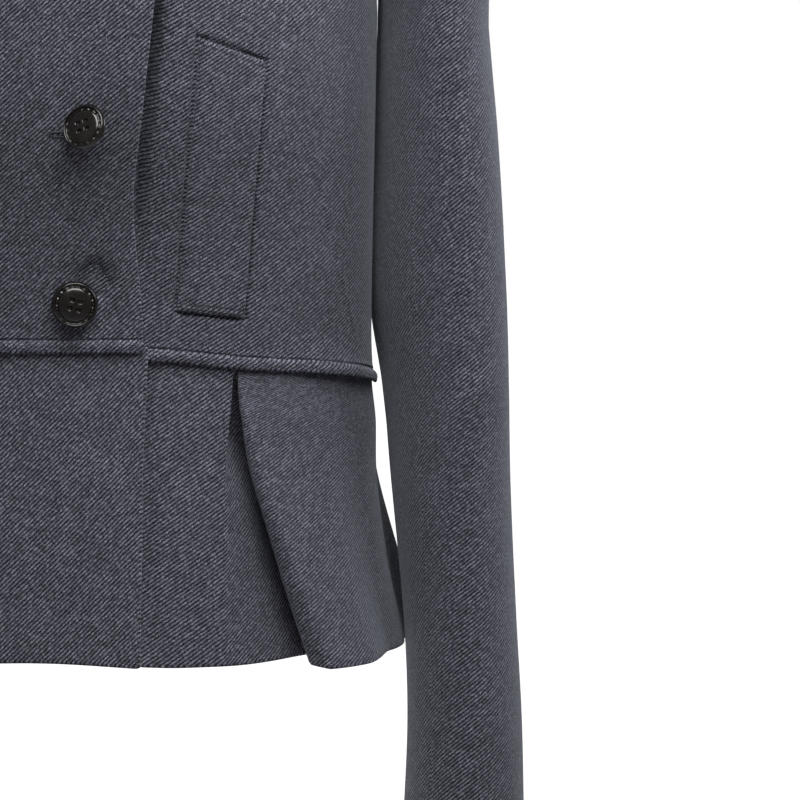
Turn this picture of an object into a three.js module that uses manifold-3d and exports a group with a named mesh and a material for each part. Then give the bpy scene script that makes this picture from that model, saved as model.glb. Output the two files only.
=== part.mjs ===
// A short double-breasted jacket in wool twill with a pleated peplum, shown hollow, as it hangs on its wearer.
// Millimetres. +Z is up, +X is the wearer's left and -Y is the front. The origin is at the base of the neck,
// midway between the neck ends of the two shoulder seams.

import * as THREE from 'three';
import Module from 'manifold-3d';
import { mergeVertices } from 'three/addons/utils/BufferGeometryUtils.js';

const wasm = await Module();
wasm.setup();

// Cloth
const clothThickness = 2.0;
const seamGap = 0.5;
const mitre = 2.5; // how far a wall's inner face stops short of an edge where two walls meet at an angle
const ringStep = 0.002;
const normalStep = 1e-4;
const roundness = 0.87; // power of sine and cosine in every body ring: 1 is an ellipse, less is boxier

// Heights down the body
const bustZ = -240;
const hemZ = -539;
const bustShare = 0.42; // share of a bodice column that lies below the bust ring
const columnPull = 0.95; // how straight a column leaves the bust ring and reaches its top edge

// Half width and depths of the body rings, from the hem up
const bodyStations = [
  { z: -540, halfWidth: 188, front: 119, back: 110 },
  { z: -500, halfWidth: 179.5, front: 112, back: 100 },
  { z: -460, halfWidth: 174.5, front: 106, back: 91 },
  { z: -430, halfWidth: 174, front: 102, back: 84 },
  { z: -395, halfWidth: 172, front: 100, back: 82 },
  { z: -340, halfWidth: 172.6, front: 106, back: 89 },
  { z: -285, halfWidth: 173.8, front: 120, back: 99 },
  { z: -240, halfWidth: 174.6, front: 126, back: 105 },
];

// Height of the waist seam along each panel, from its centre (0) to the side seam (1)
const waistSeamStations = [
  { along: 0.0, overlapping: -395, underlapping: -398.5, back: -404 },
  { along: 0.2, overlapping: -395.5, underlapping: -399.5, back: -405 },
  { along: 0.4, overlapping: -399, underlapping: -404.5, back: -407 },
  { along: 0.6, overlapping: -405, underlapping: -407.5, back: -410 },
  { along: 0.8, overlapping: -411, underlapping: -411.5, back: -413 },
  { along: 1.0, overlapping: -416, underlapping: -416, back: -416 },
];

// Neck, shoulder and armhole
const neckPoint = [70, 4, 0];
const neckFront = { drop: 76, reach: 62 };
const neckBack = { drop: 18, reach: 58 };
const neckFall = 1.2; // how late the neckline falls away from the neck point
const shoulderTip = [188, 4, -42];
const underarm = [175.4, 0, -216];
const armholeFront = { high: [174, -46, -78], low: [165, -70, -214] };
const armholeBack = { high: [180, 46, -78], low: [171, 66, -214] };
const neckShare = 0.26; // share of a panel's width that ends at the neckline
const shoulderShare = 0.62; // and the share at which the shoulder ends and the armhole begins

// The way the front's cloth lies as it reaches the top edge of its panel, by share of the panel's width:
// neckline up to neckShare, shoulder up to shoulderShare, then the armhole. The back's y is the other way.
const topLieStations = [
  { along: 0.0, x: 0.0, y: 0.45, z: 1.0 },
  { along: 0.14, x: -0.25, y: 0.45, z: 0.75 },
  { along: 0.26, x: -0.42, y: 0.5, z: 0.15 },
  { along: 0.4, x: 0.0, y: 0.65, z: 0.0 },
  { along: 0.62, x: 0.3, y: 0.62, z: -0.1 },
  { along: 0.75, x: 0.5, y: 0.3, z: 0.6 },
  { along: 0.88, x: 0.3, y: 0.1, z: 0.9 },
  { along: 1.0, x: 0.0, y: 0.0, z: 1.0 },
];

// Front overlap
const overlapLift = 3.7; // how far the overlapping front stands out from the front beneath it
const flapTop = 0.975; // the flap's upper edge ends this share of the way up, below the collar
const flapTopFrom = 0.3; // share of the flap over which its upper edge comes down to that

// Reach of both fronts past the centre, and of the lift on the overlapping front's own side, as shares of a panel
const overlapStations = [
  { up: 0.0, flap: 0.192, underlap: 0.17, liftFull: 0.22, liftEnd: 0.42 },
  { up: 0.06, flap: 0.188, underlap: 0.17, liftFull: 0.22, liftEnd: 0.42 },
  { up: 0.19, flap: 0.172, underlap: 0.17, liftFull: 0.22, liftEnd: 0.42 },
  { up: 0.28, flap: 0.18, underlap: 0.17, liftFull: 0.22, liftEnd: 0.42 },
  { up: 0.44, flap: 0.201, underlap: 0.17, liftFull: 0.22, liftEnd: 0.42 },
  { up: 0.65, flap: 0.23, underlap: 0.15, liftFull: 0.2, liftEnd: 0.36 },
  { up: 0.85, flap: 0.207, underlap: 0.1, liftFull: 0.14, liftEnd: 0.27 },
  { up: 1.0, flap: 0.15, underlap: 0.05, liftFull: 0.07, liftEnd: 0.17 },
];

// Peplum
const peplumDepth = 140;
const peplumInset = 0.9; // the peplum's top lies this far behind the bodice's folded edge
const peplumInsetLength = 0.16;
const foldLines = { start: 0.356, valley: 0.394, peak: 0.437, tuckEnd: 0.56, riseEnd: 0.76, end: 0.92 };
const hemRise = 4.5; // how much higher the front's hem is at the centre
const hemRiseEnd = 0.24; // share of the panel's width by which it is down
const pleatHemDrop = 0.15; // how far the hem falls for each millimetre that it stands out

// One pleat to each quarter: where the cloth turns in, its valley and its peak as shares of the panel,
// how deep the valley and how high the peak is, and how far the fold's edge hangs over the valley
const pleatStations = [
  { drop: 0.0, start: 0.372, valley: 0.381, peak: 0.387, depth: 0.5, rise: 0.0, tuck: 1.0 },
  { drop: 0.1, start: 0.366, valley: 0.384, peak: 0.395, depth: 8.0, rise: 1.5, tuck: 3.0 },
  { drop: 0.3, start: 0.354, valley: 0.4, peak: 0.416, depth: 14.0, rise: 5.0, tuck: 4.5 },
  { drop: 0.6, start: 0.342, valley: 0.436, peak: 0.452, depth: 14.0, rise: 10.0, tuck: 4.5 },
  { drop: 1.0, start: 0.326, valley: 0.474, peak: 0.49, depth: 12.0, rise: 15.0, tuck: 4.0 },
];
const sideFlute = { centre: 0.84, spread: 0.16, rise: 14, fullAt: 1.0 }; // on the back, beside the side seam

// Sleeve rings from the upper arm to the cuff: centre x and y, half width and half depth. Each ring is sheared by
// turn: its front lies that much further out, and its back further in, behind the body.
const sleeveStations = [
  { z: -626, x: 213.7, y: -38, halfWidth: 28.8, halfDepth: 47, turn: 0 },
  { z: -574, x: 214.8, y: -30, halfWidth: 27.2, halfDepth: 49, turn: 0 },
  { z: -528, x: 213.3, y: -22, halfWidth: 26.8, halfDepth: 52, turn: 0 },
  { z: -463, x: 210, y: -12, halfWidth: 28.3, halfDepth: 57, turn: 3 },
  { z: -417, x: 208, y: -6, halfWidth: 29.2, halfDepth: 60, turn: 6 },
  { z: -372, x: 204.4, y: -3, halfWidth: 31, halfDepth: 62, turn: 7.5 },
  { z: -300, x: 203.6, y: -1, halfWidth: 28.8, halfDepth: 65, turn: 5.5 },
  { z: -245, x: 201.8, y: 0, halfWidth: 25.6, halfDepth: 68, turn: 1.5 },
];
const upperArmZ = -245;
const cuffZ = -626;
const capShare = 0.38;
const armholeGap = 0.8;

// The way the sleeve's cloth leaves the armhole, at the shoulder tip and at the underarm
const capLeave = { tip: { x: 0.85, z: 0.1 }, under: { x: 0.2, z: -1 }, aside: 0.45 };
const sleeveSeams = { front: 0.37, back: 0.69 }; // shares of the round, from the top by the front
const sleeveSeamHalfGap = 0.0012;

// Collar stand
const collarHeight = 29;
const collarLean = 9;
const collarThickness = 2.4;
const collarSeat = 1.0; // height of the band's lower edge over the neckline
const collarBackShare = 0.42; // share of each half of the band that lies behind the neck point
const collarEnd = 0.996;

// Welt pockets: x and z of the corners on the front, by the centre (inner) and away from it (outer)
const weltLift = 3.0;
const weltTop = { inner: [86.2, -250.4], outer: [115.8, -261.2] };
const weltLow = { inner: [76.2, -375.4], outer: [106.6, -379.2] };

// Buttons
const buttonRadius = 10.8;
const buttonSegments = 24;
const buttonHoleRadius = 1.1;
const buttonHoleOffset = 1.75;
const buttonHoleDepth = 1.5;
const shankRadius = 1.6;
const domeHeight = 3.2;

// The button's section above its shank, from the underside out to the rim and in to the middle of the dome
const buttonProfile = [
  { radius: 9.2, height: 0.0 },
  { radius: buttonRadius, height: 1.5 },
  { radius: 10.1, height: 3.1 },
  { radius: 8.2, height: 2.2 },
  { radius: 0.0, height: domeHeight },
];

// Rows of buttons, from the top. foot is the height of the shank's foot over the front's true curve, which the
// flat facets lie a little behind. The left buttons lean by tilt degrees, and their faces turn toward that way
// round the front, counted from the wearer's left (0) through up (90).
const buttonRows = [
  { name: '1', x: 35, z: -127, standOff: 2.6, foot: 0.45, tilt: 0, toward: 0 },
  { name: '2', x: 36, z: -209, standOff: 2.6, foot: -0.2, tilt: 0, toward: 0 },
  { name: '3', x: 35.2, z: -290, standOff: 7.0, foot: -0.2, tilt: 38, toward: 138 },
  { name: '4', x: 28, z: -372, standOff: 3.4, foot: 0.6, tilt: 6, toward: 60 },
];

const clothColour = 0x4b4f5a;
const buttonColour = 0x15130f;

const lerp = (a, b, t) => a + (b - a) * t;
const mix = (p, q, t) => p.map((value, i) => lerp(value, q[i], t));
const clamp = (value, low, high) => Math.min(Math.max(value, low), high);
const ease = (t) => t * t * (3 - 2 * t);
const ramp = (value, from, to) => ease(clamp((value - from) / (to - from), 0, 1));
const spread = (from, to, count) => Array.from({ length: count + 1 }, (_, i) => lerp(from, to, i / count));

function hermite(p, q, leave, arrive, t) {
  const t2 = t * t;
  const t3 = t2 * t;
  return (2 * t3 - 3 * t2 + 1) * p + (t3 - 2 * t2 + t) * leave + (3 * t2 - 2 * t3) * q + (t3 - t2) * arrive;
}

// A smooth curve through one column of a table of stations
function curveThrough(stations, from, to) {
  const x = stations.map((station) => station[from]);
  const y = stations.map((station) => station[to]);
  const last = x.length - 1;
  const slope = x.map((_, i) => {
    const before = Math.max(i - 1, 0);
    const after = Math.min(i + 1, last);
    return (y[after] - y[before]) / (x[after] - x[before]);
  });
  return (at) => {
    let i = 0;
    while (i < last - 1 && at > x[i + 1]) i += 1;
    const span = x[i + 1] - x[i];
    return hermite(y[i], y[i + 1], span * slope[i], span * slope[i + 1], clamp((at - x[i]) / span, 0, 1));
  };
}

function bezier(a, b, c, d, t) {
  const s = 1 - t;
  return a.map((_, i) => s ** 3 * a[i] + 3 * s * s * t * b[i] + 3 * s * t * t * c[i] + t ** 3 * d[i]);
}

const halfWidthAt = curveThrough(bodyStations, 'z', 'halfWidth');
const frontDepthAt = curveThrough(bodyStations, 'z', 'front');
const backDepthAt = curveThrough(bodyStations, 'z', 'back');
const seamAt = {
  overlapping: curveThrough(waistSeamStations, 'along', 'overlapping'),
  underlapping: curveThrough(waistSeamStations, 'along', 'underlapping'),
  back: curveThrough(waistSeamStations, 'along', 'back'),
};
const flapReachAt = curveThrough(overlapStations, 'up', 'flap');
const underlapReachAt = curveThrough(overlapStations, 'up', 'underlap');
const liftFullAt = curveThrough(overlapStations, 'up', 'liftFull');
const liftEndAt = curveThrough(overlapStations, 'up', 'liftEnd');
const topLieAt = ['x', 'y', 'z'].map((axis) => curveThrough(topLieStations, 'along', axis));

// A point of the body ring at height z. along runs from the centre (0) to the side seam (1) of the left half.
function bodyRing(along, z, back) {
  const angle = (along * Math.PI) / 2;
  const depth = back ? backDepthAt(z) : -frontDepthAt(z);
  const aside = Math.sign(angle) * Math.abs(Math.sin(angle)) ** roundness;
  return [halfWidthAt(z) * aside, depth * Math.max(Math.cos(angle), 0) ** roundness, z];
}

function neckline(share, back) {
  const angle = (share * Math.PI) / 2;
  const { drop, reach } = back ? neckBack : neckFront;
  const across = neckPoint[0] * Math.sin(angle);
  const inward = reach * Math.cos(angle);
  return [across, neckPoint[1] + (back ? inward : -inward), -drop * Math.cos(angle) ** neckFall];
}

function armhole(share, back) {
  const bend = back ? armholeBack : armholeFront;
  return bezier(shoulderTip, bend.high, bend.low, underarm, share);
}

// The upper edge of a bodice panel
function topEdge(along, back) {
  if (along <= neckShare) return neckline(along / neckShare, back);
  if (along > shoulderShare) return armhole((along - shoulderShare) / (1 - shoulderShare), back);
  return mix(neckPoint, shoulderTip, (along - neckShare) / (shoulderShare - neckShare));
}

const distance = (p, q) => Math.hypot(p[0] - q[0], p[1] - q[1], p[2] - q[2]);

// A point of the left half of the bodice. up runs from the waist seam (0) to the panel's upper edge (1).
function bodicePoint(along, up, back, seamHeight) {
  if (up <= bustShare) return bodyRing(along, lerp(seamHeight(along) + seamGap / 2, bustZ, up / bustShare), back);
  const t = (up - bustShare) / (1 - bustShare);
  const start = bodyRing(along, bustZ, back);
  const below = bodyRing(along, bustZ - 1, back);
  const end = topEdge(along, back);
  const [lieX, lieY, lieZ] = topLieAt.map((at) => at(along));
  const lie = [lieX, back ? -lieY : lieY, lieZ];
  const pull = columnPull * distance(start, end);
  return start.map((value, i) => hermite(value, end[i], pull * (value - below[i]), pull * lie[i], t));
}

// A point of the left half of the peplum. fold runs from the centre (0) to the side seam (1) and stays on the
// same line of the pleat all the way from the waist seam (drop 0) to the hem (drop 1).
function peplumPoint(fold, drop, back, seamHeight, lift) {
  const along = foldPlace(fold, drop);
  const hem = hemZ + (back ? 0 : hemRise * (1 - ramp(along, 0, hemRiseEnd)));
  const z = lerp(seamHeight(along) - seamGap / 2, hem, drop);
  const [x, y] = bodyRing(along, z, back);
  const before = bodyRing(along - ringStep, z, back);
  const tangent = new THREE.Vector2(x - before[0], y - before[1]).normalize();
  const outward = back ? new THREE.Vector2(-tangent.y, tangent.x) : new THREE.Vector2(tangent.y, -tangent.x);
  const pleat = pleatAt(fold, drop);
  const flute = back ? sideFluteAt(along, drop) : 0;
  const out = pleat.out + flute + lift - peplumInset * (1 - ramp(drop, 0, peplumInsetLength));
  return [
    x + outward.x * out - tangent.x * pleat.shift,
    y + outward.y * out - tangent.y * pleat.shift,
    z - pleatHemDrop * out * drop,
  ];
}

const pleatStartAt = curveThrough(pleatStations, 'drop', 'start');
const pleatValleyAt = curveThrough(pleatStations, 'drop', 'valley');
const pleatPeakAt = curveThrough(pleatStations, 'drop', 'peak');
const pleatDepthAt = curveThrough(pleatStations, 'drop', 'depth');
const pleatRiseAt = curveThrough(pleatStations, 'drop', 'rise');
const pleatTuckAt = curveThrough(pleatStations, 'drop', 'tuck');

// Where a line of the pleat lies on the body ring at this drop
function foldPlace(fold, drop) {
  const places = [0, pleatStartAt(drop), pleatValleyAt(drop), pleatPeakAt(drop), foldLines.end, 1];
  const lines = [0, foldLines.start, foldLines.valley, foldLines.peak, foldLines.end, 1];
  let i = 0;
  while (i < lines.length - 2 && fold > lines[i + 1]) i += 1;
  return lerp(places[i], places[i + 1], (fold - lines[i]) / (lines[i + 1] - lines[i]));
}

// How far the pleat moves the cloth out of the body ring, and along it towards the centre
function pleatAt(fold, drop) {
  const { start, valley, peak, riseEnd } = foldLines;
  const depth = pleatDepthAt(drop);
  const rise = pleatRiseAt(drop);
  const shift = pleatTuckAt(drop) * ramp(fold, valley, peak) * (1 - ramp(fold, peak, foldLines.tuckEnd));
  if (fold < valley) return { out: -depth * ramp(fold, start, valley), shift };
  if (fold < peak) return { out: lerp(-depth, rise, ramp(fold, valley, peak)), shift };
  return { out: rise * (1 - ramp(fold, peak, riseEnd)), shift };
}

function sideFluteAt(along, drop) {
  const away = (along - sideFlute.centre) / sideFlute.spread;
  const round = Math.abs(away) < 1 ? Math.cos((away * Math.PI) / 2) ** 2 : 0;
  return sideFlute.rise * ramp(drop, 0, sideFlute.fullAt) * round;
}

const mirrored = ([x, y, z]) => [-x, y, z];

// The unit normal of a surface, on the side that facing says
function normalOf(surface, u, v, facing) {
  const step = normalStep;
  const difference = (a, b) => new THREE.Vector3(a[0] - b[0], a[1] - b[1], a[2] - b[2]);
  const acrossWay = difference(surface(u + step, v), surface(u - step, v));
  const upWay = difference(surface(u, Math.min(v + step, 1)), surface(u, Math.max(v - step, 0)));
  return acrossWay.cross(upWay).normalize().multiplyScalar(facing);
}

// The same surface, moved out along its normals by lift(u, v)
function lifted(surface, lift, facing) {
  return (u, v) => {
    const point = surface(u, v);
    const normal = normalOf(surface, u, v, facing);
    const height = lift(u, v);
    return [point[0] + normal.x * height, point[1] + normal.y * height, point[2] + normal.z * height];
  };
}

// A closed cloth wall whose outer face is the surface, sampled at the values across and up.
// Its inner face stops short of the low and high edges by the shares in shy.
function wall(surface, across, up, facing, { thickness = clothThickness, shy = [0, 0] } = {}) {
  const positions = [];
  const low = up[0];
  const high = up[up.length - 1];
  const innerUp = up.map((v) => lerp(low + shy[0], high - shy[1], (v - low) / (high - low)));
  for (const [depth, rowsAt] of [[0, up], [-thickness, innerUp]]) {
    for (const u of across) {
      for (const v of rowsAt) {
        const point = surface(u, v);
        const normal = normalOf(surface, u, v, facing);
        positions.push(point[0] + normal.x * depth, point[1] + normal.y * depth, point[2] + normal.z * depth);
      }
    }
  }
  const rows = up.length;
  const layerSize = across.length * rows;
  const id = (layer, i, j) => layer * layerSize + i * rows + j;
  const faces = [];
  const quad = (a, b, c, d) => faces.push(...(facing > 0 ? [a, b, c, a, c, d] : [a, c, b, a, d, c]));
  const lastColumn = across.length - 1;
  const lastRow = rows - 1;
  for (let i = 0; i < lastColumn; i += 1) {
    for (let j = 0; j < lastRow; j += 1) {
      quad(id(0, i, j), id(0, i + 1, j), id(0, i + 1, j + 1), id(0, i, j + 1));
      quad(id(1, i, j), id(1, i, j + 1), id(1, i + 1, j + 1), id(1, i + 1, j));
    }
    quad(id(0, i, 0), id(1, i, 0), id(1, i + 1, 0), id(0, i + 1, 0));
    quad(id(0, i, lastRow), id(0, i + 1, lastRow), id(1, i + 1, lastRow), id(1, i, lastRow));
  }
  for (let j = 0; j < lastRow; j += 1) {
    quad(id(0, 0, j), id(0, 0, j + 1), id(1, 0, j + 1), id(1, 0, j));
    quad(id(0, lastColumn, j), id(1, lastColumn, j), id(1, lastColumn, j + 1), id(0, lastColumn, j + 1));
  }
  const geometry = new THREE.BufferGeometry();
  geometry.setAttribute('position', new THREE.Float32BufferAttribute(positions, 3));
  geometry.setIndex(faces);
  return geometry;
}

const jacket = new THREE.Group();
const cloth = new THREE.MeshStandardMaterial({ color: clothColour, roughness: 0.9, metalness: 0 });
const buttonFinish = new THREE.MeshStandardMaterial({ color: buttonColour, roughness: 0.35, metalness: 0 });

function add(name, geometry, material = cloth) {
  const mesh = new THREE.Mesh(geometry, material);
  mesh.name = name;
  jacket.add(mesh);
  return mesh;
}

// A front panel of the wearer's left half, with what passes the centre at negative u, up to u = -1
const panelAlong = (u, reach) => (u < 0 ? -u * reach : u);
function frontPanel(pointAt, seamHeight, reachAt, liftAt = () => 0) {
  return (u, v) => {
    const point = pointAt(panelAlong(u, reachAt(v)), v, false, seamHeight, liftAt(u));
    return u < 0 ? mirrored(point) : point;
  };
}
const mirror = (surface) => (u, v) => mirrored(surface(u, v));
const overlapLiftAt = (u, v) => overlapLift * (1 - ramp(u, liftFullAt(v), liftEndAt(v)));

// Panels stop just short of the side seam and of the shoulder seam, which leaves the gap of each seam
const sideEnd = 0.9985;
const topEnd = 0.9992;
const neckColumns = 7;
const bodiceAcross = [
  ...spread(0, neckShare, neckColumns).slice(0, -1),
  ...spread(neckShare, shoulderShare, 5).slice(0, -1),
  ...spread(shoulderShare, 1, 8),
];
const bodiceUp = [...spread(0, bustShare, 5).slice(0, -1), ...spread(bustShare, topEnd, 8)];
const pastCentre = spread(-1, 0, 4).slice(0, -1);
const armholeColumn = 200; // length of a column above the bust ring
const bodiceShy = [0, (mitre * (1 - bustShare)) / armholeColumn];
const upToSide = (list) => list.map((u) => Math.min(u, sideEnd));

const flapUp = (u, v) => v * lerp(1, flapTop, ramp(-u, 0, flapTopFrom));
const rightFrontBare = mirror(frontPanel(bodicePoint, seamAt.overlapping, flapReachAt));
const rightFront = lifted((u, v) => rightFrontBare(u, flapUp(u, v)), overlapLiftAt, -1);
const leftFront = frontPanel(bodicePoint, seamAt.underlapping, underlapReachAt);
const frontAcross = upToSide([...pastCentre, ...bodiceAcross]);
add('front_right', wall(rightFront, frontAcross, bodiceUp, -1, { shy: bodiceShy }));
add('front_left', wall(leftFront, frontAcross, bodiceUp, 1, { shy: bodiceShy }));

// The back is one panel, from the right side seam (-1) through the centre back to the left one (1)
function backPanel(pointAt) {
  return (u, v) => {
    const point = pointAt(Math.abs(u), v, true, seamAt.back, 0);
    return u < 0 ? mirrored(point) : point;
  };
}
const bothSides = (list) => [...list.slice(1).reverse().map((u) => -u), ...list];
add('back', wall(backPanel(bodicePoint), bothSides(upToSide(bodiceAcross)), bodiceUp, -1, { shy: bodiceShy }));

// Peplum
const peplumDown = [0, 0.05, 0.12, 0.25, 0.4, 0.55, 0.7, 0.85, 1];
const pleatAcross = [
  ...spread(0, foldLines.start, 4).slice(0, -1),
  ...spread(foldLines.start, foldLines.valley, 5).slice(0, -1),
  ...spread(foldLines.valley, foldLines.peak, 5).slice(0, -1),
  ...spread(foldLines.peak, foldLines.tuckEnd, 4).slice(0, -1),
  ...spread(foldLines.tuckEnd, foldLines.end, 6).slice(0, -1),
  foldLines.end,
  1,
];
const peplumShy = [mitre / peplumDepth, 0];
const peplumLiftAt = (u) => overlapLiftAt(u, 0);
const rightPeplum = mirror(frontPanel(peplumPoint, seamAt.overlapping, () => flapReachAt(0), peplumLiftAt));
const leftPeplum = frontPanel(peplumPoint, seamAt.underlapping, () => underlapReachAt(0));
const backPeplum = backPanel(peplumPoint);
const peplumAcross = upToSide([...pastCentre, ...pleatAcross]);
const peplumBackAcross = bothSides(upToSide(pleatAcross));
add('peplum_front_right', wall(rightPeplum, peplumAcross, peplumDown, 1, { shy: peplumShy }));
add('peplum_front_left', wall(leftPeplum, peplumAcross, peplumDown, -1, { shy: peplumShy }));
add('peplum_back', wall(backPeplum, peplumBackAcross, peplumDown, 1, { shy: peplumShy }));

// Sleeves. around runs from the top of the cap (0) by the front (0.25) and underarm (0.5) to the back (0.75).
const sleeveXAt = curveThrough(sleeveStations, 'z', 'x');
const sleeveYAt = curveThrough(sleeveStations, 'z', 'y');
const sleeveHalfWidthAt = curveThrough(sleeveStations, 'z', 'halfWidth');
const sleeveHalfDepthAt = curveThrough(sleeveStations, 'z', 'halfDepth');
const sleeveTurnAt = curveThrough(sleeveStations, 'z', 'turn');

function sleeveRing(around, z) {
  const angle = around * 2 * Math.PI;
  return [
    sleeveXAt(z) + sleeveHalfWidthAt(z) * Math.cos(angle) + sleeveTurnAt(z) * Math.sin(angle),
    sleeveYAt(z) - sleeveHalfDepthAt(z) * Math.sin(angle),
    z,
  ];
}

function sleevePoint(around, down) {
  if (down >= capShare) return sleeveRing(around, lerp(upperArmZ, cuffZ, (down - capShare) / (1 - capShare)));
  const start = around < 0.5 ? armhole(2 * around, false) : armhole(2 - 2 * around, true);
  start[0] += armholeGap;
  const end = sleeveRing(around, upperArmZ);
  const pull = distance(start, end);
  const onTop = (1 + Math.cos(around * 2 * Math.PI)) / 2; // 1 at the top of the cap, 0 at the underarm
  const sideways = Math.sin(around * 2 * Math.PI);
  const { tip, under, aside } = capLeave;
  const leave = [lerp(under.x, tip.x, onTop), -aside * sideways, lerp(under.z, tip.z, onTop)];
  const t = down / capShare;
  return start.map((value, i) => hermite(value, end[i], pull * leave[i], pull * (i === 2 ? -1 : 0), t));
}

const sleeveDown = [...spread(0, capShare, 5).slice(0, -1), ...spread(capShare, 1, 8)];
const topSleeveAround = spread(
  sleeveSeams.back - 1 + sleeveSeamHalfGap,
  sleeveSeams.front - sleeveSeamHalfGap,
  18,
);
const underSleeveAround = spread(
  sleeveSeams.front + sleeveSeamHalfGap,
  sleeveSeams.back - sleeveSeamHalfGap,
  9,
);
const sleeve = (u, v) => sleevePoint(((u % 1) + 1) % 1, v);
add('sleeve_left_top', wall(sleeve, topSleeveAround, sleeveDown, 1));
add('sleeve_left_under', wall(sleeve, underSleeveAround, sleeveDown, 1));
add('sleeve_right_top', wall(mirror(sleeve), topSleeveAround, sleeveDown, -1));
add('sleeve_right_under', wall(mirror(sleeve), underSleeveAround, sleeveDown, -1));

// The collar stand runs from the right end at the centre front (-1) round the back to the left end (1)
function collarPoint(u, v) {
  const share = Math.abs(u);
  const base =
    share < collarBackShare
      ? neckline(share / collarBackShare, true)
      : neckline((1 - share) / (1 - collarBackShare), false);
  const inward = new THREE.Vector2(-base[0], -(base[1] - neckPoint[1])).normalize().multiplyScalar(collarLean * v);
  const point = [base[0] + inward.x, base[1] + inward.y, base[2] + collarSeat + collarHeight * v];
  return u < 0 ? mirrored(point) : point;
}
const collarHalf = [
  ...spread(0, collarBackShare, neckColumns).slice(0, -1),
  ...spread(collarBackShare, 1, neckColumns).map((u) => Math.min(u, collarEnd)),
];
add('collar_stand', wall(collarPoint, bothSides(collarHalf), spread(0, 1, 2), -1, { thickness: collarThickness }));

// Where on a front panel the given x and z are, below the bust ring
function shareAt(x, z, seamHeight) {
  const along = (Math.asin((x / halfWidthAt(z)) ** (1 / roundness)) * 2) / Math.PI;
  const seam = seamHeight(along) + seamGap / 2;
  return [along, (bustShare * (z - seam)) / (bustZ - seam)];
}

// A welt is made from the points of the front that it lies on, moved out
function welt(front, seamHeight, facing) {
  const onFront = (u, v) => {
    const low = mix(weltLow.inner, weltLow.outer, u);
    const top = mix(weltTop.inner, weltTop.outer, u);
    const [x, z] = mix(low, top, v);
    return front(...shareAt(x, z, seamHeight));
  };
  return wall(lifted(onFront, () => weltLift, facing), spread(0, 1, 4), spread(0, 1, 6), facing);
}
add('pocket_welt_left', welt(leftFront, seamAt.underlapping, 1));
add('pocket_welt_right', welt(rightFront, seamAt.overlapping, -1));

// A solid for cutting, from a mesh with its doubled points merged
function solidOf(geometry) {
  const bare = geometry.clone();
  bare.deleteAttribute('normal');
  bare.deleteAttribute('uv');
  const merged = mergeVertices(bare, 1e-4);
  return new wasm.Manifold(
    new wasm.Mesh({
      numProp: 3,
      vertProperties: new Float32Array(merged.attributes.position.array),
      triVerts: new Uint32Array(merged.index.array),
    }),
  );
}

function geometryOf(solid) {
  const mesh = solid.getMesh();
  const geometry = new THREE.BufferGeometry();
  geometry.setAttribute('position', new THREE.BufferAttribute(mesh.vertProperties, 3));
  geometry.setIndex(new THREE.BufferAttribute(mesh.triVerts, 1));
  return geometry;
}

// A domed four-hole button on a short thread shank, with its face towards +Y and the shank's foot at y = 0
function buttonGeometry(standOff) {
  const profile = [
    new THREE.Vector2(0, 0),
    new THREE.Vector2(shankRadius, 0),
    new THREE.Vector2(shankRadius, standOff),
    ...buttonProfile.map(({ radius, height }) => new THREE.Vector2(radius, standOff + height)),
  ];
  let solid = solidOf(new THREE.LatheGeometry(profile, buttonSegments));
  for (const [side, end] of [[1, 1], [1, -1], [-1, 1], [-1, -1]]) {
    const drill = new THREE.CylinderGeometry(buttonHoleRadius, buttonHoleRadius, buttonHoleDepth * 2, 8);
    drill.translate(side * buttonHoleOffset, standOff + domeHeight, end * buttonHoleOffset);
    solid = solid.subtract(solidOf(drill));
  }
  return geometryOf(solid);
}

// Where x and z are on the overlapping front, found by stepping towards them
const frontWidth = 300;
const searchSteps = 30;
function frontSpot(x, z) {
  const spot = [-x / frontWidth, bustShare];
  for (let i = 0; i < searchSteps; i += 1) {
    const here = rightFront(...spot);
    const besideU = rightFront(spot[0] + normalStep, spot[1]);
    const besideV = rightFront(spot[0], spot[1] + normalStep);
    const slopes = [besideU[0] - here[0], besideV[0] - here[0], besideU[2] - here[2], besideV[2] - here[2]];
    const [xu, xv, zu, zv] = slopes.map((slope) => slope / normalStep);
    const missX = x - here[0];
    const missZ = z - here[2];
    const determinant = xu * zv - xv * zu;
    spot[0] += (missX * zv - xv * missZ) / determinant;
    spot[1] += (xu * missZ - missX * zu) / determinant;
  }
  return spot;
}

const faceUp = new THREE.Vector3(0, 1, 0);
for (const row of buttonRows) {
  for (const [side, sign] of [['left', 1], ['right', -1]]) {
    const spot = frontSpot(sign * row.x, row.z);
    const foot = new THREE.Vector3(...rightFront(...spot));
    const normal = normalOf(rightFront, ...spot, -1);
    const mesh = add(`button_${side}_${row.name}`, buttonGeometry(row.standOff), buttonFinish);
    const turn = (row.toward * Math.PI) / 180;
    const tilt = sign > 0 ? (row.tilt * Math.PI) / 180 : 0;
    const hinge = normal.clone().cross(new THREE.Vector3(Math.cos(turn), 0, Math.sin(turn))).normalize();
    mesh.quaternion.setFromUnitVectors(faceUp, normal);
    mesh.quaternion.premultiply(new THREE.Quaternion().setFromAxisAngle(hinge, tilt));
    mesh.position.copy(foot).addScaledVector(normal, row.foot + shankRadius * Math.sin(tilt));
  }
}

export default jacket;
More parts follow.
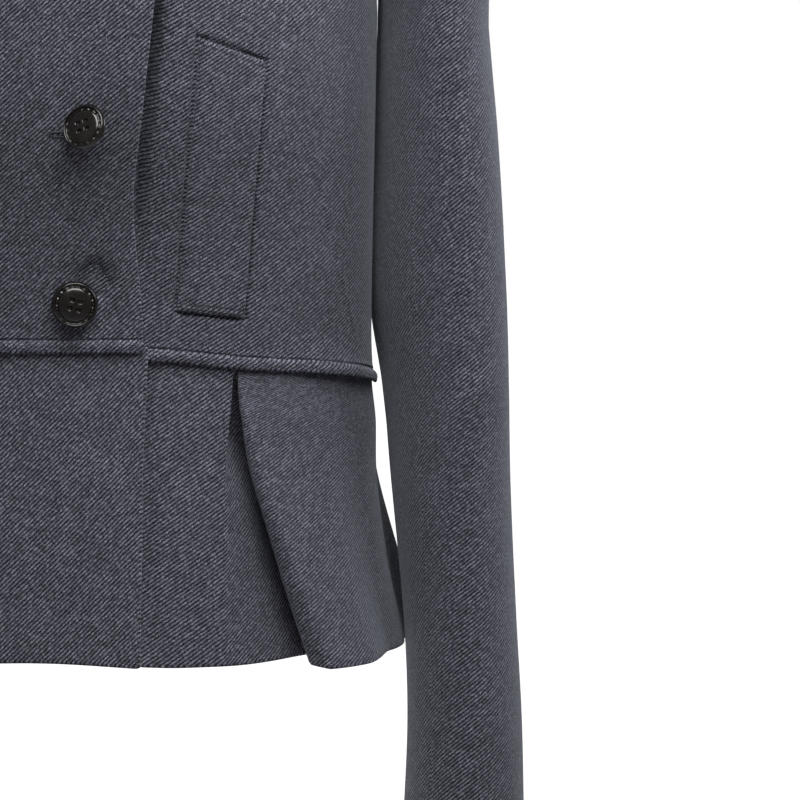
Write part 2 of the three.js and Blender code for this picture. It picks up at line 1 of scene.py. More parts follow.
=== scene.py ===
import bpy
import math
import numpy as np
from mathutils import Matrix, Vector


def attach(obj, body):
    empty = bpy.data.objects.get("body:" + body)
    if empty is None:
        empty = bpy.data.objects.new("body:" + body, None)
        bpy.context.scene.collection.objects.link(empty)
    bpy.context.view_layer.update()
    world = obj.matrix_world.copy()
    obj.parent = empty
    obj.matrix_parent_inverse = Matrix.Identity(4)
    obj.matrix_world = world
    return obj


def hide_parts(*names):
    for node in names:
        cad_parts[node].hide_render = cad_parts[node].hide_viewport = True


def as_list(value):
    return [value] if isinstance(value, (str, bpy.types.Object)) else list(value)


# Short double-breasted jacket in wool twill, hollow as worn. Shapes are worked out in millimetres, in the
# frame's axes (+X wearer's left, -Y front, +Z up, origin at the base of the neck), and turned into metres
# as a mesh is made.

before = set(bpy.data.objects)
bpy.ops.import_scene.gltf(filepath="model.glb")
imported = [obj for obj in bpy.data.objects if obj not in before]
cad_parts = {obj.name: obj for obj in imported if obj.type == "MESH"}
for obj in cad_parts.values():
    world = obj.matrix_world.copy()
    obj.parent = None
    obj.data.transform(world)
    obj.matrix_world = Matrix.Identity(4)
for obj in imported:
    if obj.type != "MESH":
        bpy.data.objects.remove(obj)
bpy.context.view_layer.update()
scene = bpy.context.scene
print("frame loaded:", len(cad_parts), "nodes")


# helpers for curves

# a straight mix of two values: a + (b - a) t
def mixed(a, b, t):
    return a + (b - a) * t

# 0 below low, 1 above high, and a smooth rise 3t^2 - 2t^3 between them
def ramp(value, low, high):
    t = np.clip((value - low) / (high - low), 0, 1)
    return t * t * (3 - 2 * t)


# the cubic from p to q that sets out along leave and comes in along arrive
def hermite(p, q, leave, arrive, t):
    return ((2 * t**3 - 3 * t**2 + 1) * p + (t**3 - 2 * t**2 + t) * leave
            + (3 * t**2 - 2 * t**3) * q + (t**3 - t**2) * arrive)


# a smooth curve through a table: a cubic between neighbours, whose slope at each one is that of the line
# between the two beside it
def curveThrough(xs, ys):
    xs, ys = np.array(xs, float), np.array(ys, float)
    last = len(xs) - 1
    before, after = np.maximum(np.arange(last + 1) - 1, 0), np.minimum(np.arange(last + 1) + 1, last)
    slope = (ys[after] - ys[before]) / (xs[after] - xs[before])

    def at(x):
        x = np.asarray(x, float)
        i = np.clip(np.searchsorted(xs, x, side="left") - 1, 0, last - 1)
        span = xs[i + 1] - xs[i]
        t = np.clip((x - xs[i]) / span, 0, 1)
        return hermite(ys[i], ys[i + 1], span * slope[i], span * slope[i + 1], t)
    return at


# each vector over its own length
def unit(vectors):
    return vectors / np.maximum(np.linalg.norm(vectors, axis=-1, keepdims=True), 1e-9)


def point(x, y, z):
    return np.stack(np.broadcast_arrays(x, y, z), -1).astype(float)


# the points with x turned round where u is negative
def sidedBy(u, points):
    points[..., 0] = points[..., 0] * np.where(u < 0, -1, 1)
    return points


# the surface's mirror across x = 0
def flipped(surface):
    def other(u, v):
        return surface(u, v) * np.array([-1, 1, 1])
    return other


# the unit normal of a surface: the cross of its two slopes, on the side that facing says
def normalsOf(surface, u, v, facing):
    step = 2e-4
    across = surface(u + step, v) - surface(u - step, v)
    up = surface(u, np.minimum(v + step, 1)) - surface(u, np.maximum(v - step, 0))
    return unit(np.cross(across, up)) * facing


# the surface moved out along its normals by height(u, v, point)
def raised(surface, facing, height):
    def out(u, v):
        p = surface(u, v)
        return p + normalsOf(surface, u, v, facing) * height(u, v, p)[..., None]
    return out


# values from a list of (end, count) runs, each evenly spaced, joined
def runs(start, *parts):
    values = [np.array([start], float)]
    for end, count in parts:
        values.append(np.linspace(values[-1][-1], end, count + 1)[1:])
    return np.concatenate(values)


# height of soft lines drawn on a panel: each is a polyline in (x, z) with a bell-shaped section
# height * exp(-(distance / width)^2), faded in and out over a share of its length
def softLines(lines, x, z):
    total = np.zeros(np.shape(x))
    for line in lines:
        path = np.array(line["path"], float)
        legs = np.linalg.norm(np.diff(path, axis=0), axis=1)
        run = np.concatenate([[0], np.cumsum(legs)]) / legs.sum()
        nearest, share = np.full(np.shape(x), 1e9), np.zeros(np.shape(x))
        for i in range(len(legs)):
            way = path[i + 1] - path[i]
            t = np.clip(((x - path[i, 0]) * way[0] + (z - path[i, 1]) * way[1]) / (way @ way), 0, 1)
            away = np.hypot(x - path[i, 0] - way[0] * t, z - path[i, 1] - way[1] * t)
            closer = away < nearest
            nearest = np.where(closer, away, nearest)
            share = np.where(closer, mixed(run[i], run[i + 1], t), share)
        fade = line.get("fade", 0.3)
        taper = ramp(share, 0, fade) * ramp(1 - share, 0, fade) if fade > 0 else 1.0
        total += line["height"] * np.exp(-(nearest / line["width"]) ** 2) * taper
    return total


# the body's shape

body = {
    "roundness": 0.87,
    "bustZ": -240, "hemZ": -539, "bustShare": 0.42, "columnPull": 0.95, "seamGap": 0.5,
    "z": [-540, -500, -460, -430, -395, -340, -285, -240],
    "halfWidth": [188, 179.5, 174.5, 174, 172, 172.6, 173.8, 174.6],
    "front": [119, 112, 106, 102, 100, 106, 120, 126],
    "back": [110, 100, 91, 84, 82, 89, 99, 105],
    "sideEnd": 0.9985, "topEnd": 0.9992,
}
waistSeam = {
    "along": [0, 0.2, 0.4, 0.6, 0.8, 1],
    "overlapping": [-395, -395.5, -399, -405, -411, -416],
    "underlapping": [-398.5, -399.5, -404.5, -407.5, -411.5, -416],
    "back": [-404, -405, -407, -410, -413, -416],
}
neck = {"point": (70, 4, 0), "frontDrop": 76, "frontReach": 62, "backDrop": 18, "backReach": 58, "fall": 1.2}
armholes = {
    "tip": (188, 4, -42), "under": (175.4, 0, -216), "neckShare": 0.26, "shoulderShare": 0.62,
    "front": ((174, -46, -78), (165, -70, -214)), "back": ((180, 46, -78), (171, 66, -214)),
}
topLie = {
    "along": [0, 0.14, 0.26, 0.4, 0.62, 0.75, 0.88, 1],
    "x": [0, -0.25, -0.42, 0, 0.3, 0.5, 0.3, 0],
    "y": [0.45, 0.45, 0.5, 0.65, 0.62, 0.3, 0.1, 0],
    "z": [1, 0.75, 0.15, 0, -0.1, 0.6, 0.9, 1],
}
overlap = {
    "lift": 3.7, "flapTop": 0.975, "flapTopFrom": 0.3,
    "up": [0, 0.06, 0.19, 0.28, 0.44, 0.65, 0.85, 1],
    "flap": [0.192, 0.188, 0.172, 0.18, 0.201, 0.23, 0.207, 0.15],
    "underlap": [0.17, 0.17, 0.17, 0.17, 0.17, 0.15, 0.1, 0.05],
    "liftFull": [0.22, 0.22, 0.22, 0.22, 0.22, 0.2, 0.14, 0.07],
    "liftEnd": [0.42, 0.42, 0.42, 0.42, 0.42, 0.36, 0.27, 0.17],
}

halfWidthAt = curveThrough(body["z"], body["halfWidth"])
frontDepthAt = curveThrough(body["z"], body["front"])
backDepthAt = curveThrough(body["z"], body["back"])
overlappingSeamAt = curveThrough(waistSeam["along"], waistSeam["overlapping"])
underlappingSeamAt = curveThrough(waistSeam["along"], waistSeam["underlapping"])
backSeamAt = curveThrough(waistSeam["along"], waistSeam["back"])
topLieAt = [curveThrough(topLie["along"], topLie[axis]) for axis in "xyz"]
flapReachAt = curveThrough(overlap["up"], overlap["flap"])
underlapReachAt = curveThrough(overlap["up"], overlap["underlap"])
liftFullAt = curveThrough(overlap["up"], overlap["liftFull"])
liftEndAt = curveThrough(overlap["up"], overlap["liftEnd"])


# a ring round the body at height z, from the centre (along 0) to the side seam (1):
# half width times sin^roundness aside, depth times cos^roundness to the front or back
def bodyRing(along, z, back):
    angle = along * np.pi / 2
    aside = np.sign(angle) * np.abs(np.sin(angle)) ** body["roundness"]
    inward = np.maximum(np.cos(angle), 0) ** body["roundness"]
    return point(halfWidthAt(z) * aside, (backDepthAt(z) if back else -frontDepthAt(z)) * inward, z)


# a quarter of the neckline: sine across, cosine inward, falling by drop * cos^fall
def neckline(share, back):
    angle = np.clip(share, 0, 1) * np.pi / 2
    endX, endY, _ = neck["point"]
    drop, reach = (neck["backDrop"], neck["backReach"]) if back else (neck["frontDrop"], -neck["frontReach"])
    inward = np.maximum(np.cos(angle), 0)
    return point(endX * np.sin(angle), endY + reach * inward, -drop * inward ** neck["fall"])


# half an armhole: a cubic Bezier curve from the shoulder tip to the underarm
def armhole(share, back):
    high, low = armholes["back" if back else "front"]
    t = np.clip(share, 0, 1)[..., None]
    s = 1 - t
    return (s**3 * np.array(armholes["tip"]) + 3 * s * s * t * np.array(high)
            + 3 * s * t * t * np.array(low) + t**3 * np.array(armholes["under"]))


# a bodice panel's upper edge: neckline, then the straight shoulder, then the armhole
def topEdge(along, back):
    neckShare, shoulderShare = armholes["neckShare"], armholes["shoulderShare"]
    onShoulder = np.clip((along - neckShare) / (shoulderShare - neckShare), 0, 1)[..., None]
    shoulder = mixed(np.array(neck["point"], float), np.array(armholes["tip"], float), onShoulder)
    edge = np.where((along <= neckShare)[..., None], neckline(along / neckShare, back), shoulder)
    past = (along - shoulderShare) / (1 - shoulderShare)
    return np.where((along > shoulderShare)[..., None], armhole(past, back), edge)


# left half of the bodice: body rings from the waist seam (up 0) to the bust, then cubic columns to the top
# edge (1)
def bodicePoint(along, up, back, seamAt, lift=0):
    share = body["bustShare"]
    seam = seamAt(along) + body["seamGap"] / 2
    low = bodyRing(along, mixed(seam, body["bustZ"], np.minimum(up / share, 1)), back)
    start = bodyRing(along, np.full(np.shape(along), float(body["bustZ"])), back)
    below = bodyRing(along, np.full(np.shape(along), body["bustZ"] - 1.0), back)
    end = topEdge(along, back)
    lie = np.stack([at(along) for at in topLieAt], -1) * np.array([1, -1 if back else 1, 1])
    pull = body["columnPull"] * np.linalg.norm(end - start, axis=-1, keepdims=True)
    t = np.clip((up - share) / (1 - share), 0, 1)[..., None]
    high = hermite(start, end, pull * (start - below), pull * lie, t)
    return np.where((up <= share)[..., None], low, high)


# the peplum's shape

peplum = {
    "depth": 140, "inset": 0.9, "insetLength": 0.16, "hemDrop": 0.15,
    "start": 0.356, "valley": 0.394, "peak": 0.437, "tuckEnd": 0.56, "riseEnd": 0.76, "end": 0.92,
    "hemRise": 4.5, "hemRiseEnd": 0.24, "slopeStep": 0.002,
    "sharpStart": 0.1, "sharpEnd": 0.48, "sharpness": 10, "foldRound": (0.006, 0.024),
    "drop": [0, 0.1, 0.3, 0.6, 1],
    "startAt": [0.372, 0.363, 0.349, 0.336, 0.305],
    "valleyAt": [0.382, 0.406, 0.45, 0.508, 0.556],
    "peakAt": [0.386, 0.412, 0.455, 0.503, 0.53],
    "depthAt": [0.5, 9, 15, 15, 12],
    "riseAt": [0, 1.5, 5, 10, 15],
    "tuckAt": [1, 6.8, 13.4, 16, 13.5],  # how far the fold's edge is drawn back over the valley
    "fluteCentre": 0.84, "fluteSpread": 0.16, "fluteRise": 15.5, "fluteFullAt": 0.9,
}
pleatStartAt, pleatValleyAt, pleatPeakAt, pleatDepthAt, pleatRiseAt, pleatTuckAt = [
    curveThrough(peplum["drop"], peplum[name])
    for name in ("startAt", "valleyAt", "peakAt", "depthAt", "riseAt", "tuckAt")]


# where a line of the pleat lies on the body ring at this drop: straight between the pleat's start, valley and
# peak
def foldPlace(fold, drop):
    lines = [0, peplum["start"], peplum["valley"], peplum["peak"], peplum["end"], 1]
    places = [0, pleatStartAt(drop), pleatValleyAt(drop), pleatPeakAt(drop), peplum["end"], 1]
    place = places[1] * fold / lines[1]
    for i in range(1, 5):
        here = mixed(places[i], places[i + 1], (fold - lines[i]) / (lines[i + 1] - lines[i]))
        place = np.where(fold > lines[i], here, place)
    return place


# left half of the peplum, from the waist seam (drop 0) to the hem (1): the body ring, moved out by the pleat
# (down to its valley, up to its peak, and back), by the side flute on the back and by lift. Down to sharpEnd
# the way into the valley starts with a sharp edge, 1 - (1 - t)^sharpness, and below it is soft, 3t^2 - 2t^3
def peplumPoint(fold, drop, back, seamAt, lift=0):
    start, valley, peak, riseEnd = (peplum[name] for name in ("start", "valley", "peak", "riseEnd"))
    along = foldPlace(fold, drop)
    hem = body["hemZ"] + (0 if back else peplum["hemRise"] * (1 - ramp(along, 0, peplum["hemRiseEnd"])))
    z = mixed(seamAt(along) - body["seamGap"] / 2, hem, drop)
    here, before = bodyRing(along, z, back), bodyRing(along - peplum["slopeStep"], z, back)
    tangent = unit((here - before) * np.array([1, 1, 0]))
    outward = np.stack([-tangent[..., 1], tangent[..., 0]], -1) * (1 if back else -1)
    depth, rise = pleatDepthAt(drop), pleatRiseAt(drop)
    shift = pleatTuckAt(drop) * ramp(fold, valley, peak) * (1 - ramp(fold, peak, peplum["tuckEnd"]))
    sharp = 1 - ramp(drop, peplum["sharpStart"], peplum["sharpEnd"])
    way = np.clip((fold - start) / (valley - start), 0, 1)
    intoValley = mixed(ramp(way, 0, 1), 1 - (1 - way) ** peplum["sharpness"], sharp)
    crest = peak + mixed(*peplum["foldRound"], drop)
    out = np.where(fold < valley, -depth * intoValley,
                   np.where(fold < crest, mixed(-depth, rise, ramp(fold, valley, crest)),
                            rise * (1 - ramp(fold, crest, riseEnd))))
    if back:
        away = (along - peplum["fluteCentre"]) / peplum["fluteSpread"]
        bell = np.where(np.abs(away) < 1, np.cos(np.clip(away, -1, 1) * np.pi / 2) ** 2, 0)
        out = out + peplum["fluteRise"] * ramp(drop, 0, peplum["fluteFullAt"]) * bell
    out = out + lift - peplum["inset"] * (1 - ramp(drop, 0, peplum["insetLength"]))
    return point(here[..., 0] + outward[..., 0] * out - tangent[..., 0] * shift,
                 here[..., 1] + outward[..., 1] * out - tangent[..., 1] * shift,
                 z - peplum["hemDrop"] * out * drop)


# share of the way from the centre to the side seam; what passes the centre has negative u, up to -1
def alongAt(u, v, reachAt):
    return np.where(u < 0, -u * reachAt(v), u)


# a front panel of the wearer's left half
def frontPanel(pointAt, seamAt, reachAt, liftAt=None):
    def surface(u, v):
        lift = 0 if liftAt is None else liftAt(u)
        return sidedBy(u, pointAt(alongAt(u, v, reachAt), v, False, seamAt, lift))
    return surface


# the back from the right side seam (-1) to the left one (1)
def backPanel(pointAt):
    def surface(u, v):
        return sidedBy(u, pointAt(np.abs(u), v, True, backSeamAt))
    return surface


# how far the overlapping front stands out: the full lift over the underlap, and a smooth way down beside it
def overlapLiftAt(u, v):
    return overlap["lift"] * (1 - ramp(u, liftFullAt(v), liftEndAt(v)))


# rows of the flap end a little lower than the rest at the neck
def flapUp(u, v):
    return v * mixed(1, overlap["flapTop"], ramp(-u, 0, overlap["flapTopFrom"]))


# the curve's value at the waist seam, for every row of the peplum
def atWaist(curve):
    return lambda v: curve(np.zeros(np.shape(v)))


rightFrontBare = flipped(frontPanel(bodicePoint, overlappingSeamAt, flapReachAt))
rightFrontCut = raised(lambda u, v: rightFrontBare(u, flapUp(u, v)), -1, lambda u, v, p: overlapLiftAt(u, v))
leftFrontCut = frontPanel(bodicePoint, underlappingSeamAt, underlapReachAt)
backCut = backPanel(bodicePoint)
rightPeplumCut = flipped(frontPanel(peplumPoint, overlappingSeamAt, atWaist(flapReachAt),
                                    lambda u: overlapLiftAt(u, np.zeros(np.shape(u)))))
leftPeplumCut = frontPanel(peplumPoint, underlappingSeamAt, atWaist(underlapReachAt))
backPeplumCut = backPanel(peplumPoint)


# the sleeves' shape

sleeve = {
    "z": [-626, -574, -528, -463, -417, -372, -300, -245],
    "x": [213.7, 214.8, 213.3, 209.5, 207.3, 203.7, 202.9, 201.7],
    "y": [-38, -30, -22, -12, -6, -3, -1, 0],
    "halfWidth": [28.8, 27.2, 26.8, 27.8, 28.5, 30.3, 28.1, 25.5],
    "halfDepth": [47, 49, 52, 57, 60, 62, 65, 68],
    "turn": [0, 0, 0, 3, 6.5, 8.8, 6, 3],  # a ring's front lies this much further out, its back further in
    "upperArmZ": -245, "cuffZ": -626, "capShare": 0.38, "armholeGap": 0.8,
    "tipX": 0.85, "tipZ": 0.1, "underX": 0.2, "underZ": -1, "aside": 0.45,
    "frontSeam": 0.37, "backSeam": 0.69, "seamHalfGap": 0.0004, "seamColumn": 0.0015,
}
sleeveXAt, sleeveYAt, sleeveHalfWidthAt, sleeveHalfDepthAt, sleeveTurnAt = [
    curveThrough(sleeve["z"], sleeve[name]) for name in ("x", "y", "halfWidth", "halfDepth", "turn")]


# the left sleeve: around runs from the top (0) by the front (0.25) and underarm (0.5) to the back (0.75),
# down from the armhole (0) to the cuff (1). Below the upper arm it is ellipses sheared by turn, above it
# cubics from the armhole
def sleevePoint(around, down):
    around = np.mod(around, 1)
    angle = around * 2 * np.pi
    share = sleeve["capShare"]

    def ring(z):
        return point(sleeveXAt(z) + sleeveHalfWidthAt(z) * np.cos(angle) + sleeveTurnAt(z) * np.sin(angle),
                     sleeveYAt(z) - sleeveHalfDepthAt(z) * np.sin(angle), z)
    low = ring(mixed(sleeve["upperArmZ"], sleeve["cuffZ"], np.clip((down - share) / (1 - share), 0, 1)))
    start = np.where((around < 0.5)[..., None], armhole(2 * around, False), armhole(2 - 2 * around, True))
    start = start + np.array([sleeve["armholeGap"], 0, 0])
    end = ring(np.full(np.shape(around), float(sleeve["upperArmZ"])))
    pull = np.linalg.norm(end - start, axis=-1, keepdims=True)
    onTop = (1 + np.cos(angle)) / 2
    leave = point(mixed(sleeve["underX"], sleeve["tipX"], onTop), -sleeve["aside"] * np.sin(angle),
                  mixed(sleeve["underZ"], sleeve["tipZ"], onTop))
    t = np.clip(down / share, 0, 1)[..., None]
    cap = hermite(start, end, pull * leave, pull * np.array([0, 0, -1.0]), t)
    return np.where((down >= share)[..., None], low, cap)


# meshes from grids

# puts points (mm), quads or triangles and a uv for each point into a new object that rides on the root body
def makeMesh(name, points, faces, material, uv=None):
    mesh = bpy.data.meshes.new(name)
    mesh.from_pydata((points / 1000).tolist(), [], [list(face) for face in faces])
    mesh.shade_smooth()
    if uv is not None:
        layer = mesh.uv_layers.new(name="weave")
        corner = np.zeros(len(mesh.loops), np.int32)
        mesh.loops.foreach_get("vertex_index", corner)
        layer.data.foreach_set("uv", (uv[corner] / 1000).ravel())
    mesh.update()
    mesh.materials.append(material)
    made = bpy.data.objects.new(name, mesh)
    scene.collection.objects.link(made)
    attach(made, "root")
    return made


# faces of a stack of rings that a point closes at each end: the quads, and the triangles at the two points,
# which are numbered after the rings
def ringFaces(rings, spokes, facing=1):
    index = np.arange(rings * spokes).reshape(rings, spokes)
    beside = np.roll(index, -1, 1)
    quads = np.stack([index[:-1], beside[:-1], beside[1:], index[1:]], -1).reshape(-1, 4)
    low = np.stack([np.full(spokes, rings * spokes), beside[0], index[0]], -1)
    high = np.stack([np.full(spokes, rings * spokes + 1), index[-1], beside[-1]], -1)
    poles = np.concatenate([low, high])
    if facing < 0:
        quads, poles = np.roll(quads[:, ::-1], 1, 1), np.roll(poles[:, ::-1], 1, 1)
    return quads, poles


# area of a grid's quads, in square metres
def gridArea(p):
    one = np.cross(p[1:, :-1] - p[:-1, :-1], p[:-1, 1:] - p[:-1, :-1])
    two = np.cross(p[1:, :-1] - p[1:, 1:], p[:-1, 1:] - p[1:, 1:])
    return float(np.linalg.norm(one, axis=-1).sum() + np.linalg.norm(two, axis=-1).sum()) / 2e6


# arc length along the grid's two ways, in mm, turned so that x runs along the twill's ribs. They are counted
# from column zero and row zeroRow, and grow so that seen from outside the ribs rise to the right by turn
# degrees
def weaveUv(p, facing, down, turn, zero, zeroRow):
    acrossSteps = np.linalg.norm(np.diff(p, axis=0), axis=-1)
    upSteps = np.linalg.norm(np.diff(p, axis=1), axis=-1)
    u = np.concatenate([np.zeros((1, p.shape[1])), np.cumsum(acrossSteps, 0)])
    v = np.concatenate([np.zeros((p.shape[0], 1)), np.cumsum(upSteps, 1)], 1)
    u, v = u - u[zero], v - v[:, zeroRow:][:, :1]
    v = -v if down else v
    u = u * facing * (-1 if down else 1)
    a = math.radians(turn)
    return np.stack([u * math.cos(a) + v * math.sin(a), -u * math.sin(a) + v * math.cos(a)], -1)


cloth = {
    "thickness": 1.9, "rimSteps": 4,
    # how far an edge's half round stands out; one that is sewn is nearly flat
    "freeRim": 1, "halfRim": 0.5, "sewnRim": 0.15,
    # degrees by which each panel's ribs rise to the right
    "ribTurn": {"frontRight": 42, "frontLeft": 35, "back": 35, "peplumRight": 44, "peplumLeft": 37,
                "peplumBack": 36, "sleeve": 38, "collar": 28, "welt": 36},
}
freeRim, halfRim, sewnRim = cloth["freeRim"], cloth["halfRim"], cloth["sewnRim"]
ribTurn = cloth["ribTurn"]


# columns on both sides of the middle from those of one side
def bothSides(half):
    return np.concatenate([-half[::-1], [0], half])


# the column that lies on the middle line
def middleOf(columns):
    return int(np.argmin(np.abs(columns)))


# a closed cloth: the outer face is the grid, the inner one lies thickness behind it, and a half round joins
# them along each edge. rounds says how far each edge's half round stands out: low u, high u, low v, high v.
# The weave is laid out on the surface plain, which has no dents to shift it
def clothPiece(name, surface, us, vs, facing, material, rounds, turn, zero, zeroRow=0, down=False, plain=None,
               thickness=cloth["thickness"], steps=cloth["rimSteps"]):
    u, v = np.meshgrid(us, vs, indexing="ij")
    outer = surface(u, v)
    across, up = np.gradient(outer, axis=0), np.gradient(outer, axis=1)
    normal = unit(np.cross(across, up)) * facing
    inner = outer - normal * thickness
    columns, rows = u.shape
    index = np.arange(columns * rows).reshape(columns, rows)
    quads = np.stack([index[:-1, :-1], index[1:, :-1], index[1:, 1:], index[:-1, 1:]], -1).reshape(-1, 4)
    if facing < 0:
        quads = quads[:, ::-1]
    count = columns * rows
    faces = [quads, quads[:, ::-1] + count]
    laid = outer if plain is None else plain(u, v)
    uv = weaveUv(laid, facing, down, turn, zero, zeroRow).reshape(-1, 2)
    points, uvs = [outer.reshape(-1, 3), inner.reshape(-1, 3)], [uv, uv]
    # the edge as one loop of grid places, and the way out of the cloth at each
    loop = np.concatenate([index[:-1, 0], index[-1, :-1], index[:0:-1, -1], index[0, :0:-1]])
    bulge = np.concatenate([np.full(columns - 1, rounds[2]), np.full(rows - 1, rounds[1]),
                            np.full(columns - 1, rounds[3]), np.full(rows - 1, rounds[0])]).astype(float)
    bulge = np.minimum(bulge, np.roll(bulge, 1))
    edge, edgeNormal = points[0][loop], normal.reshape(-1, 3)[loop]
    tangent = unit(np.roll(edge, -1, 0) - np.roll(edge, 1, 0))
    out = unit(np.cross(tangent, edgeNormal)) * facing
    middle = edge - edgeNormal * thickness / 2
    rings = []
    for k in range(1, steps):
        a = np.pi / 2 - np.pi * k / steps
        rings.append(count * 2 + (k - 1) * len(loop) + np.arange(len(loop)))
        points.append(middle + thickness / 2 * (edgeNormal * np.sin(a) + out * np.cos(a) * bulge[:, None]))
        uvs.append(uv[loop])
    ladder = [loop] + rings + [loop + count]
    for high, low in zip(ladder[:-1], ladder[1:]):
        side = np.stack([high, low, np.roll(low, -1), np.roll(high, -1)], -1)
        faces.append(side if facing > 0 else side[:, ::-1])
    print(f"  {name}: {columns} x {rows} grid, {gridArea(outer):.4f} m2")
    return makeMesh(name, np.concatenate(points), np.concatenate(faces), material, np.concatenate(uvs))


# materials

def linked(tree, output, target):
    tree.links.new(output, target)


# sets a socket to a number or a colour, or links it to another node's output
def fed(tree, value, socket):
    if isinstance(value, (int, float)):
        socket.default_value = value
    elif isinstance(value, tuple):
        socket.default_value = (*value, 1.0)
    else:
        linked(tree, value, socket)


def mathNode(tree, operation, a, b=None, clamp=False):
    made = tree.nodes.new("ShaderNodeMath")
    made.operation, made.use_clamp = operation, clamp
    fed(tree, a, made.inputs[0])
    if b is not None:
        fed(tree, b, made.inputs[1])
    return made.outputs[0]


# smooth noise from 0 to 1, with x and y features to a metre
def noiseNode(tree, vector, x, y, detail=2.0, roughness=0.5):
    scaled = tree.nodes.new("ShaderNodeVectorMath")
    scaled.operation = "MULTIPLY"
    scaled.inputs[1].default_value = (x, y, 1.0)
    linked(tree, vector, scaled.inputs[0])
    made = tree.nodes.new("ShaderNodeTexNoise")
    made.inputs["Scale"].default_value = 1.0
    made.inputs["Detail"].default_value = detail
    made.inputs["Roughness"].default_value = roughness
    linked(tree, scaled.outputs[0], made.inputs["Vector"])
    return made.outputs["Fac"]


# value minus a half, times by
def centred(tree, value, by):
    return mathNode(tree, "MULTIPLY", mathNode(tree, "SUBTRACT", value, 0.5), by)


# (1 + cos(2 pi t)) / 2: 1 at whole numbers, 0 halfway between them
def waveNode(tree, t):
    cosine = mathNode(tree, "COSINE", mathNode(tree, "MULTIPLY", t, 2 * math.pi))
    return mathNode(tree, "ADD", mathNode(tree, "MULTIPLY", cosine, 0.5), 0.5)


def colourMix(tree, factor, a, b, blend="MIX"):
    made = tree.nodes.new("ShaderNodeMix")
    made.data_type, made.blend_type = "RGBA", blend
    for value, socket in ((factor, made.inputs[0]), (a, made.inputs[6]), (b, made.inputs[7])):
        fed(tree, value, socket)
    return made.outputs[2]


# value taken from low..high to toLow..toHigh, smoothly and held at both ends
def rangeNode(tree, value, low, high, toLow, toHigh):
    made = tree.nodes.new("ShaderNodeMapRange")
    made.interpolation_type = "SMOOTHSTEP"
    for name, number in (("From Min", low), ("From Max", high), ("To Min", toLow), ("To Max", toHigh)):
        made.inputs[name].default_value = number
    linked(tree, value, made.inputs["Value"])
    return made.outputs["Result"]


def newGroup(name, inputs, outputs):
    group = bpy.data.node_groups.new(name, "ShaderNodeTree")
    for label, kind, default in inputs:
        socket = group.interface.new_socket(label, in_out="INPUT", socket_type="NodeSocket" + kind)
        if default is not None:
            socket.default_value = default
    for label, kind in outputs:
        group.interface.new_socket(label, in_out="OUTPUT", socket_type="NodeSocket" + kind)
    return group, group.nodes.new("NodeGroupInput"), group.nodes.new("NodeGroupOutput")


